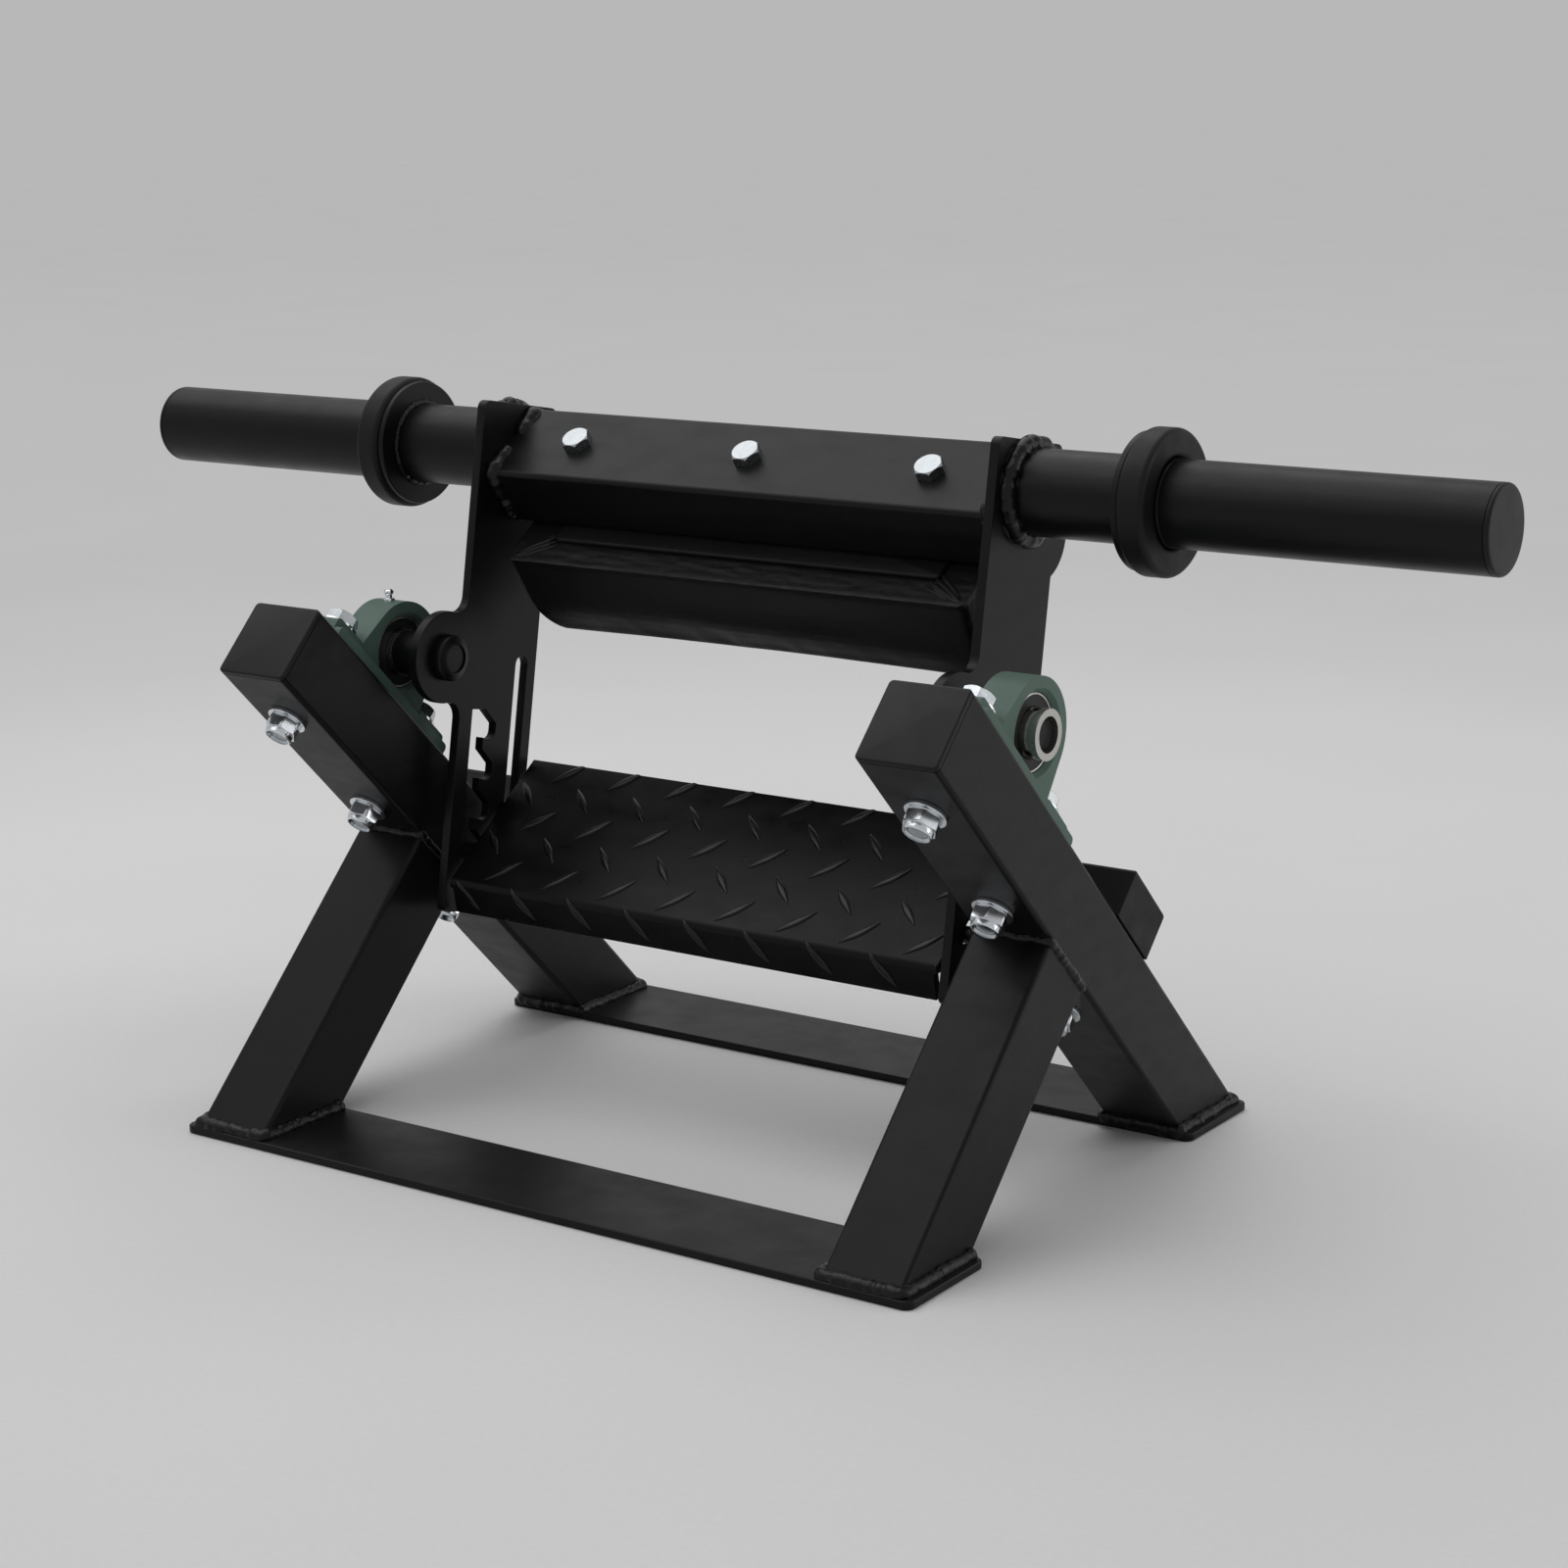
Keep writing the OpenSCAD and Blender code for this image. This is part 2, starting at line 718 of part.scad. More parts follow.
module cross_tube() {
    color("#1b1b1c") tube_frame() difference() {
        along_x(inner_w) tube_section(tube_w, tube_h, tube_r, tube_wall);
        pad_bolt_holes(pad_bolt_d + 2 * hole_gap);
    }
}

module weight_sleeve() {
    color("#1b1b1c") sleeve_frame() difference() {
        union() {
            x_cylinder(sleeve_l, sleeve_d, plate_out);
            x_cylinder(collar_out - plate_out, 2 * sleeve_root_r, plate_out);
            translate([collar_out, 0, 0]) rotate([0, 90, 0])
                cylinder(h = sleeve_step_l, r1 = sleeve_root_r, r2 = sleeve_r);
            translate([plate_out, 0, 0]) rotate([0, 90, 0])
                cylinder(h = sleeve_weld_l, r1 = sleeve_weld_r, r2 = sleeve_root_r);
        }
        x_cylinder(sleeve_l + 2, sleeve_d - 2 * sleeve_wall, plate_out - 1);
    }
}

module sleeve_cap() {
    plug_r = sleeve_r - sleeve_wall - slip;
    color("#202021") sleeve_frame() translate([sleeve_end, 0, 0]) rotate([90, 0, 90]) {
        rotate_extrude() {
            square([sleeve_r, sleeve_cap_t - cap_edge]);
            square([sleeve_r - cap_edge, sleeve_cap_t]);
            translate([sleeve_r - cap_edge, sleeve_cap_t - cap_edge]) circle(cap_edge);
        }
        translate([0, 0, -sleeve_plug_l]) difference() {
            cylinder(h = sleeve_plug_l, r = plug_r);
            translate([0, 0, -1]) cylinder(h = sleeve_plug_l + 1, r = plug_r - cap_wall);
        }
    }
}

module collar_disc() {
    color("#1b1b1c") sleeve_frame() difference() {
        x_cylinder(collar_disc_t, collar_disc_d, collar_in);
        x_cylinder(collar_disc_t + 2, 2 * (sleeve_root_r + slip), collar_in - 1);
    }
}

module collar_ring() {
    start = collar_in + collar_disc_t;
    color("#161616") sleeve_frame() translate([start, 0, 0]) rotate([90, 0, 90]) rotate_extrude()
        translate([(sleeve_root_r + slip + collar_ring_d / 2) / 2, collar_ring_t / 2])
            rounded_rect(collar_ring_d / 2 - sleeve_root_r - slip, collar_ring_t, collar_edge);
}

module axle() {
    chamfer = 1.5;
    color("#202021") swing_frame() {
        x_cylinder(axle_head_t - chamfer, axle_head_d, inner_w / 2 - axle_head_t + chamfer);
        translate([inner_w / 2 - axle_head_t, 0, 0]) rotate([0, 90, 0])
            cylinder(h = chamfer, d1 = axle_head_d - 2 * chamfer, d2 = axle_head_d);
        x_cylinder(axle_l, axle_d, inner_w / 2);
    }
}

module axle_spacer() {
    color("#1b1b1c") swing_frame() difference() {
        x_cylinder(ring_start - plate_out, spacer_d, plate_out);
        x_cylinder(ring_start - plate_out + 2, axle_d + 2 * slip, plate_out - 1);
    }
}

module at_set_screws(gap) {
    for (a = set_screw_angles) translate([leg_x + set_screw_x, 0, 0]) rotate([a, 0, 0])
        translate([0, 0, axle_r + slip - gap]) children();
}

module bearing_inner_ring() {
    color("#d0d0cd") swing_frame() difference() {
        x_cylinder(inner_ring_in + inner_ring_out, 2 * inner_ring_r, ring_start);
        x_cylinder(inner_ring_in + inner_ring_out + 2, axle_d + 2 * slip, ring_start - 1);
        translate([leg_x, 0, 0]) ball_race();
        at_set_screws(1) cylinder(h = inner_ring_r, d = set_screw_d + 2 * slip);
    }
}

module set_screw() {
    difference() {
        cylinder(h = inner_ring_r - axle_r - 0.5, d = set_screw_d);
        translate([0, 0, inner_ring_r - axle_r - 2.5]) cylinder(h = 3, d = 3.4, $fn = 6);
    }
}

module bearing_set_screws() {
    color("#8f8f8c") both_sides() swing_frame() at_set_screws(0) set_screw();
}

module pad_board() {
    color("#151515") tube_frame() difference() {
        translate([0, 0, -board_top - board_t]) linear_extrude(height = board_t)
            rounded_rect(board_l, board_d, 4);
        pad_bolt_holes(tee_barrel_d + 2 * slip);
        for (x = pad_bolt_places) translate([x, 0, -board_top - board_t - 1])
            cylinder(h = tee_flange_t + 1 + slip, d = tee_flange_d + 2 * slip);
    }
}

module tee_nut() {
    difference() {
        union() {
            cylinder(h = tee_flange_t, d = tee_flange_d);
            cylinder(h = board_t - 1, d = tee_barrel_d);
        }
        translate([0, 0, -1]) cylinder(h = board_t + 2, d = pad_bolt_d + 2 * slip);
    }
}

module pad_tee_nuts() {
    color("#c8ccce") tube_frame() for (x = pad_bolt_places)
        translate([x, 0, -board_top - board_t]) tee_nut();
}

module pad_bolts() {
    color("#c8ccce") tube_frame() for (x = pad_bolt_places) translate([x, 0, tube_h / 2])
        hex_bolt(pad_bolt_d, pad_bolt_af, pad_bolt_head_h, tube_h + board_t - 1);
}

// Rings of the cushion from its seam down: half length, half depth, drop and corner radius
side_steps = 4;
edge_steps = 5;
crown_steps = 4;
corner_steps = 6;
pad_straight = pad_t - pad_crown - pad_edge;
cushion_rings = concat(
    [for (i = [0:side_steps]) let (t = i / side_steps) [
        pad_l / 2 - pad_draw * t,
        pad_d / 2 + pad_bulge * sin(90 * t),
        pad_straight * t,
        3 + 9 * t
    ]],
    [for (i = [1:edge_steps]) let (a = 90 * i / edge_steps) [
        pad_l / 2 - pad_draw - pad_edge * (1 - cos(a)),
        pad_d / 2 + pad_bulge - pad_edge * (1 - cos(a)),
        pad_straight + pad_edge * sin(a),
        12
    ]],
    [for (i = [1:crown_steps]) let (s = 1 - i / (crown_steps + 1)) [
        (pad_l / 2 - pad_draw - pad_edge) * s,
        (pad_d / 2 + pad_bulge - pad_edge) * s,
        pad_t - pad_crown + pad_crown * (1 - s * s),
        12 * s
    ]]
);
ring_size = 4 * (corner_steps + 1);
cushion_points = concat(
    [for (r = cushion_rings) for (p = ring_points(r[0], r[1], r[3], corner_steps)) [p[0], p[1], -r[2]]],
    [[0, 0, 0], [0, 0, -pad_t]]
);
ring_total = len(cushion_rings);
cushion_faces = concat(
    [for (r = [0:ring_total - 2]) for (i = [0:ring_size - 1]) let (n = (i + 1) % ring_size)
        [r * ring_size + i, r * ring_size + n, (r + 1) * ring_size + n]],
    [for (r = [0:ring_total - 2]) for (i = [0:ring_size - 1]) let (n = (i + 1) % ring_size)
        [r * ring_size + i, (r + 1) * ring_size + n, (r + 1) * ring_size + i]],
    [for (i = [0:ring_size - 1]) [ring_total * ring_size, (i + 1) % ring_size, i]],
    [for (i = [0:ring_size - 1]) let (b = (ring_total - 1) * ring_size)
        [ring_total * ring_size + 1, b + i, b + (i + 1) % ring_size]]
);

module pad_cushion() {
    pocket_l = board_l + 2 * seat_gap;
    pocket_d = board_d + 2 * seat_gap;
    pocket_h = board_t - board_rise + seat_gap;
    color("#151515") tube_frame() difference() {
        translate([0, 0, -cushion_top]) polyhedron(cushion_points, cushion_faces);
        translate([-pocket_l / 2, -pocket_d / 2, -cushion_top - pocket_h])
            cube([pocket_l, pocket_d, pocket_h + 1]);
    }
}

// The footplate's frame: its origin is the front rod, and Y runs to the rear rod
module tread_frame() {
    swing_frame() translate([0, front_rod_y, front_rod_z]) rotate([rod_ang, 0, 0]) children();
}

// Section of the bent plate in Y and Z: the tread, the bend's outside and the lip
module tread_section() {
    inner = [-tread_front, rod_d / 2 + slip];
    tread_end = rod_span + tread_rear;
    lip_down = -lip_h * [cos(lip_turn), sin(lip_turn)];
    polygon(concat(
        [inner, [tread_end, inner[1]], [tread_end, inner[1] + tread_t]],
        [for (i = [0:bend_steps]) let (a = 90 + i / bend_steps * lip_turn)
            inner + tread_t * [cos(a), sin(a)]],
        [inner + tread_t * [-sin(lip_turn), cos(lip_turn)] + lip_down, inner + lip_down]
    ));
}

module tread_plate() {
    relief_start = 1.5;
    color("#1b1b1c") tread_frame() difference() {
        along_x(2 * tread_half) tread_section();
        for (s = [-1, 1]) translate([s * tread_half, -tread_front, rod_d / 2 + slip])
            rotate([lip_turn - 90, 0, 0]) translate([-lip_relief, -2 * tread_t, -2 * lip_h])
                cube([2 * lip_relief, 4 * tread_t, 2 * lip_h - relief_start]);
    }
}

module footplate_rod() {
    rod_half = plate_out + rod_reach;
    color("#1b1b1c") x_cylinder(2 * rod_half, rod_d, -rod_half);
}

module front_rod() {
    tread_frame() footplate_rod();
}

module rear_rod() {
    tread_frame() translate([0, rod_span, 0]) footplate_rod();
}

module long_leg_left() { left() long_leg(); }
module long_leg_right() { long_leg(); }
module short_leg_left() { left() short_leg(); }
module short_leg_right() { short_leg(); }
module leg_cap_left() { left() leg_cap(); }
module leg_cap_right() { leg_cap(); }
module bearing_housing_left() { left() bearing_housing(); }
module bearing_housing_right() { bearing_housing(); }
module bearing_outer_ring_left() { left() bearing_outer_ring(); }
module bearing_outer_ring_right() { bearing_outer_ring(); }
module bearing_balls_left() { left() bearing_balls(); }
module bearing_balls_right() { bearing_balls(); }
module bearing_cage_left() { left() bearing_cage(); }
module bearing_cage_right() { bearing_cage(); }
module bearing_seals_left() { left() bearing_seals(); }
module bearing_seals_right() { bearing_seals(); }
module bumper_left() { left() bumper(); }
module bumper_right() { bumper(); }
module side_plate_left() { left() side_plate(); }
module side_plate_right() { side_plate(); }
module weight_sleeve_left() { left() weight_sleeve(); }
module weight_sleeve_right() { weight_sleeve(); }
module sleeve_cap_left() { left() sleeve_cap(); }
module sleeve_cap_right() { sleeve_cap(); }
module collar_disc_left() { left() collar_disc(); }
module collar_disc_right() { collar_disc(); }
module collar_ring_left() { left() collar_ring(); }
module collar_ring_right() { collar_ring(); }
module axle_left() { left() axle(); }
module axle_right() { axle(); }
module axle_spacer_left() { left() axle_spacer(); }
module axle_spacer_right() { axle_spacer(); }
module bearing_inner_ring_left() { left() bearing_inner_ring(); }
module bearing_inner_ring_right() { bearing_inner_ring(); }

foot_bar_front();
foot_bar_rear();
long_leg_left();
long_leg_right();
short_leg_left();
short_leg_right();
leg_cap_left();
leg_cap_right();
bearing_housing_left();
bearing_housing_right();
bearing_outer_ring_left();
bearing_outer_ring_right();
bearing_balls_left();
bearing_balls_right();
bearing_cage_left();
bearing_cage_right();
bearing_seals_left();
bearing_seals_right();
grease_nipples();
housing_bolts();
housing_washers();
housing_nuts();
bumper_left();
bumper_right();
bumper_studs();
bumper_washers();
bumper_nuts();
side_plate_left();
side_plate_right();
cross_tube();
weight_sleeve_left();
weight_sleeve_right();
sleeve_cap_left();
sleeve_cap_right();
collar_disc_left();
collar_disc_right();
collar_ring_left();
collar_ring_right();
axle_left();
axle_right();
axle_spacer_left();
axle_spacer_right();
bearing_inner_ring_left();
bearing_inner_ring_right();
bearing_set_screws();
pad_board();
pad_cushion();
pad_bolts();
pad_tee_nuts();
tread_plate();
front_rod();
rear_rod();
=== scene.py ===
"""Looks of a plate-loaded lower-leg trainer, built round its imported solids."""

import json
import logging
import math
import random
from collections.abc import Callable, Iterable, Sequence
from dataclasses import dataclass
from enum import Enum

import bpy
from mathutils import Matrix, Vector, noise

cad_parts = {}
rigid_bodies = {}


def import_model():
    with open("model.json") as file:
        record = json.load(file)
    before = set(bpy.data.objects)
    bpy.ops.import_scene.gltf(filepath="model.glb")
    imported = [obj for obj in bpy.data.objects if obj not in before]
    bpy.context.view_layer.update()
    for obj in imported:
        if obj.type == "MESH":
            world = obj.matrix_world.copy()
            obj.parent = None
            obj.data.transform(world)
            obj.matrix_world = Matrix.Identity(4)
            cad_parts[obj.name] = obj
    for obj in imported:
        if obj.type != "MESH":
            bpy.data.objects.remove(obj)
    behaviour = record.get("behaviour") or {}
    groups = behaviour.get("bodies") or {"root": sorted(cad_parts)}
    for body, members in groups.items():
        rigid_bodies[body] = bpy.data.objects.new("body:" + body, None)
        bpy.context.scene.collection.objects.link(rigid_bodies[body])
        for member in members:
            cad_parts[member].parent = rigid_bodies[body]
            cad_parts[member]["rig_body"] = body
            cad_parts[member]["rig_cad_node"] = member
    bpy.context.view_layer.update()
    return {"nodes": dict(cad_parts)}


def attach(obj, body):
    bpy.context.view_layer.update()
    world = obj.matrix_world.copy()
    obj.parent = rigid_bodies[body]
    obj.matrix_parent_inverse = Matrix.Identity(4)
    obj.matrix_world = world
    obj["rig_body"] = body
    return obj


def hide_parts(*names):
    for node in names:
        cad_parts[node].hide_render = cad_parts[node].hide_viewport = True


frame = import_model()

log = logging.getLogger("trainer")

MM = 0.001
# Least part of a direction along an axis that counts as along it
SQUARE = 0.9
# Millimetres round a piece's axis that hold the middle of its end face
CORE = 0.5
# Millimetres within which two heights are the same
HAIR = 0.01
Colour = tuple[float, float, float]
Place = tuple[float, float, float]
Test = Callable[[Vector, Vector], bool]


class Side(Enum):
    """The machine's two halves, seen from the user's place in front."""

    LEFT = -1
    RIGHT = 1

    @property
    def word(self) -> str:
        """The side's name as the solids spell it."""
        return self.name.lower()


class Body(Enum):
    """The rigid bodies that pieces ride on."""

    BASE = "base"
    SWING = "swing_frame"
    FOOTPLATE = "footplate"


# Materials


class Shader:
    """A procedural material that reads Object coordinates, built node by node."""

    def __init__(self, name: str) -> None:
        """Start an empty material with one Principled shader.

        Args:
            name: the material's name.
        """
        self.material = bpy.data.materials.new(name)
        self.material.use_nodes = True
        self.tree = self.material.node_tree
        self.tree.nodes.clear()
        self.output = self.node("ShaderNodeOutputMaterial")
        self.surface = self.node("ShaderNodeBsdfPrincipled")
        self.link(self.surface.outputs["BSDF"], self.output.inputs["Surface"])
        self.place = self.node("ShaderNodeTexCoord").outputs["Object"]

    def node(self, kind: str) -> bpy.types.Node:
        """Add a node of this kind."""
        return self.tree.nodes.new(kind)

    def link(self, start: bpy.types.NodeSocket, end: bpy.types.NodeSocket) -> None:
        """Join two sockets."""
        self.tree.links.new(start, end)

    def spread(self, stretch: Place) -> bpy.types.NodeSocket:
        """Object coordinates scaled along each axis.

        Args:
            stretch: scale along X, Y and Z.

        Returns:
            The scaled coordinates' socket.
        """
        if stretch == (1.0, 1.0, 1.0):
            return self.place
        mapping = self.node("ShaderNodeMapping")
        mapping.inputs["Scale"].default_value = stretch
        self.link(self.place, mapping.inputs["Vector"])
        return mapping.outputs["Vector"]

    def noise(
        self,
        scale: float,
        detail: float = 3.0,
        stretch: Place = (1.0, 1.0, 1.0),
    ) -> bpy.types.NodeSocket:
        """Cloudy noise from 0 to 1.

        Args:
            scale: blotches per metre.
            detail: how many finer layers are added.
            stretch: scale of the coordinates along each axis.

        Returns:
            The noise's value socket.
        """
        texture = self.node("ShaderNodeTexNoise")
        texture.inputs["Scale"].default_value = scale
        texture.inputs["Detail"].default_value = detail
        self.link(self.spread(stretch), texture.inputs["Vector"])
        return texture.outputs["Fac"]

    def cells(self, scale: float) -> bpy.types.NodeSocket:
        """Distance to the border of pebble-like cells.

        Args:
            scale: cells per metre.

        Returns:
            The distance socket.
        """
        texture = self.node("ShaderNodeTexVoronoi")
        texture.feature = "DISTANCE_TO_EDGE"
        texture.inputs["Scale"].default_value = scale
        self.link(self.place, texture.inputs["Vector"])
        return texture.outputs["Distance"]

    def ranged(
        self, value: bpy.types.NodeSocket, low: float, high: float, start: float = 0.3, end: float = 0.7
    ) -> bpy.types.NodeSocket:
        """Map a value smoothly to a new range.

        Args:
            value: the socket to map.
            low: result at the start value and below.
            high: result at the end value and above.
            start: value that gives low.
            end: value that gives high.

        Returns:
            The mapped value's socket.
        """
        mapped = self.node("ShaderNodeMapRange")
        mapped.inputs["From Min"].default_value = start
        mapped.inputs["From Max"].default_value = end
        mapped.inputs["To Min"].default_value = low
        mapped.inputs["To Max"].default_value = high
        self.link(value, mapped.inputs["Value"])
        return mapped.outputs["Result"]

    def blend(self, factor: bpy.types.NodeSocket, low: Colour, high: Colour) -> bpy.types.NodeSocket:
        """Mix two colours by a factor socket.

        Args:
            factor: 0 gives the first colour and 1 the second.
            low: first colour.
            high: second colour.

        Returns:
            The mixed colour's socket.
        """
        mix = self.node("ShaderNodeMix")
        mix.data_type = "RGBA"
        mix.inputs[6].default_value = (*low, 1.0)
        mix.inputs[7].default_value = (*high, 1.0)
        self.link(factor, mix.inputs[0])
        return mix.outputs[2]

    def relief(
        self,
        height: bpy.types.NodeSocket,
        depth: float,
        strength: float = 1.0,
        under: bpy.types.NodeSocket | None = None,
    ) -> bpy.types.NodeSocket:
        """Bump the surface.

        Args:
            height: height from 0 to 1.
            depth: depth of the relief in metres.
            strength: share of the relief that shows.
            under: another relief that this one lies on.

        Returns:
            The bumped normal's socket.
        """
        bump = self.node("ShaderNodeBump")
        bump.inputs["Strength"].default_value = strength
        bump.inputs["Distance"].default_value = depth
        self.link(height, bump.inputs["Height"])
        if under is not None:
            self.link(under, bump.inputs["Normal"])
        return bump.outputs["Normal"]

    def set(self, **values: float) -> None:
        """Set constants on the shader's own sockets, named with underscores."""
        for key, value in values.items():
            self.surface.inputs[key.replace("_", " ")].default_value = value


@dataclass(frozen=True)
class Finish:
    """A surface finish with its colour range and gloss range."""

    name: str
    dark: Colour
    light: Colour
    smooth: float
    rough: float
    shine: float = 0.5

    def material(self) -> bpy.types.Material:
        """The finish as a material, made once.

        Returns:
            The finish's material.
        """
        name = "look_" + self.name
        found = bpy.data.materials.get(name)
        if found is not None:
            return found
        shader = Shader(name)
        shader.set(Specular_IOR_Level=self.shine)
        self.build(shader)
        return shader.material

    def build(self, shader: Shader) -> None:
        """Wire the finish's nodes."""
        raise NotImplementedError

    def wire(
        self,
        shader: Shader,
        tone: bpy.types.NodeSocket,
        gloss: bpy.types.NodeSocket,
        normal: bpy.types.NodeSocket,
    ) -> None:
        """Wire colour, roughness and relief.

        Args:
            shader: the material under way.
            tone: drift from the dark to the light colour.
            gloss: drift from the smooth to the rough end.
            normal: the bumped normal.
        """
        surface = shader.surface.inputs
        shader.link(shader.blend(tone, self.dark, self.light), surface["Base Color"])
        shader.link(shader.ranged(gloss, self.smooth, self.rough), surface["Roughness"])
        shader.link(normal, surface["Normal"])


@dataclass(frozen=True)
class PowderCoat(Finish):
    """Satin powder coat with a fine orange-peel skin and faint handling marks."""

    drift: float = 14.0
    smear: float = 46.0
    peel: float = 420.0
    speck: float = 2600.0
    depth: float = 0.00006

    def build(self, shader: Shader) -> None:
        """Wire colour drift, gloss drift and two layers of relief.

        Args:
            shader: the material under way.
        """
        peel = shader.relief(shader.noise(self.peel, 2.0), self.depth * 1.6, 0.5)
        speck = shader.relief(shader.noise(self.speck, 1.0), self.depth, 0.6, peel)
        smear = shader.noise(self.smear, 5.0, (1.0, 1.0, 2.2))
        self.wire(shader, shader.noise(self.drift, 4.0), smear, speck)


@dataclass(frozen=True)
class WeldSkin(Finish):
    """Powder coat over a weld bead: glossier, with small pits."""

    drift: float = 160.0
    pits: float = 900.0
    depth: float = 0.00025

    def build(self, shader: Shader) -> None:
        """Wire the bead's colour, gloss and pits.

        Args:
            shader: the material under way.
        """
        drift = shader.noise(self.drift, 3.0)
        pits = shader.relief(shader.noise(self.pits, 3.0), self.depth, 0.6)
        self.wire(shader, drift, drift, pits)


@dataclass(frozen=True)
class Metal(Finish):
    """Plated or ground metal with clouding and fine scratches."""

    cloud: float = 210.0
    lines: float = 700.0
    scratch: Place = (1.0, 1.0, 1.0)
    depth: float = 0.00002

    def build(self, shader: Shader) -> None:
        """Wire clouded colour, clouded gloss and scratches.

        Args:
            shader: the material under way.
        """
        shader.set(Metallic=1.0)
        lines = shader.noise(self.lines, 4.0, self.scratch)
        self.wire(shader, shader.noise(self.cloud, 4.0), lines, shader.relief(lines, self.depth, 0.5))


@dataclass(frozen=True)
class CastPaint(Finish):
    """Paint over a rough sand casting."""

    blotch: float = 60.0
    lumps: float = 240.0
    sand: float = 1300.0
    depth: float = 0.0003

    def build(self, shader: Shader) -> None:
        """Wire blotchy paint over two scales of casting relief.

        Args:
            shader: the material under way.
        """
        blotch = shader.noise(self.blotch, 5.0)
        lumps = shader.relief(shader.noise(self.lumps, 3.0), self.depth, 0.7)
        sand = shader.relief(shader.noise(self.sand, 3.0), self.depth * 0.4, 0.6, lumps)
        self.wire(shader, blotch, blotch, sand)


@dataclass(frozen=True)
class Moulded(Finish):
    """Moulded rubber or plastic with a fine grain."""

    dust: float = 70.0
    grain: float = 1500.0
    depth: float = 0.00006

    def build(self, shader: Shader) -> None:
        """Wire a dusty colour drift and a fine grain."""
        dust = shader.noise(self.dust, 5.0)
        self.wire(shader, dust, dust, shader.relief(shader.noise(self.grain, 2.0), self.depth, 0.6))


@dataclass(frozen=True)
class Vinyl(Finish):
    """Upholstery vinyl with a pebbled leather grain."""

    wear: float = 30.0
    slack: float = 75.0
    slack_depth: float = 0.0009
    grain: float = 1150.0
    depth: float = 0.00011

    def build(self, shader: Shader) -> None:
        """Wire grain, soft unevenness and a little sheen.

        Args:
            shader: the material under way.
        """
        shader.set(Sheen_Weight=0.05, Sheen_Roughness=0.4)
        wear = shader.noise(self.wear, 5.0)
        slack = shader.relief(shader.noise(self.slack, 3.0, (1.0, 2.0, 1.4)), self.slack_depth, 0.35)
        pebble = shader.ranged(shader.cells(self.grain), 0.0, 1.0, 0.0, 0.22)
        self.wire(shader, wear, wear, shader.relief(pebble, self.depth, 0.5, slack))


BLACK_COAT = PowderCoat(
    "satin_black_coat", (0.0035, 0.0035, 0.0037), (0.0055, 0.0055, 0.0058), 0.31, 0.42, 0.19
)
TREAD_COAT = PowderCoat("satin_tread_coat", (0.003, 0.003, 0.0032), (0.005, 0.005, 0.0053), 0.26, 0.38, 0.14)
# Lozenge coat: its gloss is real, and its slightly lighter colour is a painted highlight for the thin bright
# lines along the lozenges' edges
LOZENGE_COAT = PowderCoat("worn_tread_edge", (0.004, 0.004, 0.0042), (0.007, 0.007, 0.0073), 0.2, 0.3, 0.3)
WELD_COAT = WeldSkin("coated_weld_skin", (0.003, 0.003, 0.0032), (0.005, 0.005, 0.0053), 0.2, 0.32, 0.26)
ZINC = Metal("bright_zinc", (0.70, 0.74, 0.78), (0.86, 0.88, 0.90), 0.13, 0.24, depth=0.000003)
DULL_ZINC = Metal("dull_zinc", (0.36, 0.39, 0.41), (0.52, 0.54, 0.55), 0.2, 0.34, depth=0.000004)
GROUND_STEEL = Metal(
    "ground_bearing_steel",
    (0.50, 0.49, 0.47),
    (0.62, 0.61, 0.58),
    0.16,
    0.28,
    scratch=(12.0, 1.0, 1.0),
    depth=0.000005,
)
DARK_STEEL = Metal("blackened_screws", (0.10, 0.10, 0.10), (0.18, 0.18, 0.17), 0.3, 0.45, depth=0.000004)
BRASS = Metal("pressed_brass", (0.48, 0.34, 0.14), (0.62, 0.46, 0.2), 0.25, 0.4, depth=0.000004)
GREEN_CASTING = CastPaint("green_cast_paint", (0.072, 0.128, 0.102), (0.106, 0.172, 0.142), 0.42, 0.6, 0.35)
BLACK_RUBBER = Moulded("moulded_rubber", (0.004, 0.004, 0.004), (0.007, 0.007, 0.007), 0.45, 0.6, 0.22)
SEAL_RUBBER = Moulded("bearing_seal_skin", (0.004, 0.004, 0.004), (0.007, 0.0065, 0.006), 0.35, 0.5, 0.3)
BLACK_PLASTIC = Moulded(
    "end_cap_plastic", (0.0085, 0.0085, 0.0087), (0.012, 0.012, 0.0122), 0.36, 0.48, 0.2, grain=900.0
)
BLACK_VINYL = Vinyl("pebbled_black_vinyl", (0.003, 0.003, 0.0032), (0.005, 0.005, 0.0052), 0.34, 0.47, 0.22)


# Modelling tools


def looking(way: int, core: bool = False) -> Test:
    """Test for the faces that look along Z.

    Args:
        way: 1 for faces that look up, -1 for those that look down.
        core: only the face in the middle, round the piece's axis.

    Returns:
        A test of a face's centre and normal.
    """
    return lambda centre, normal: normal.z * way > SQUARE and (not core or centre.xy.length < CORE)


def upright(middle: Vector, way: Vector) -> bool:
    """Test for the edges that run along Z."""
    return abs(way.z) > SQUARE


def level(middle: Vector, way: Vector) -> bool:
    """Test for the edges that run square to Z."""
    return abs(way.z) < 1 - SQUARE


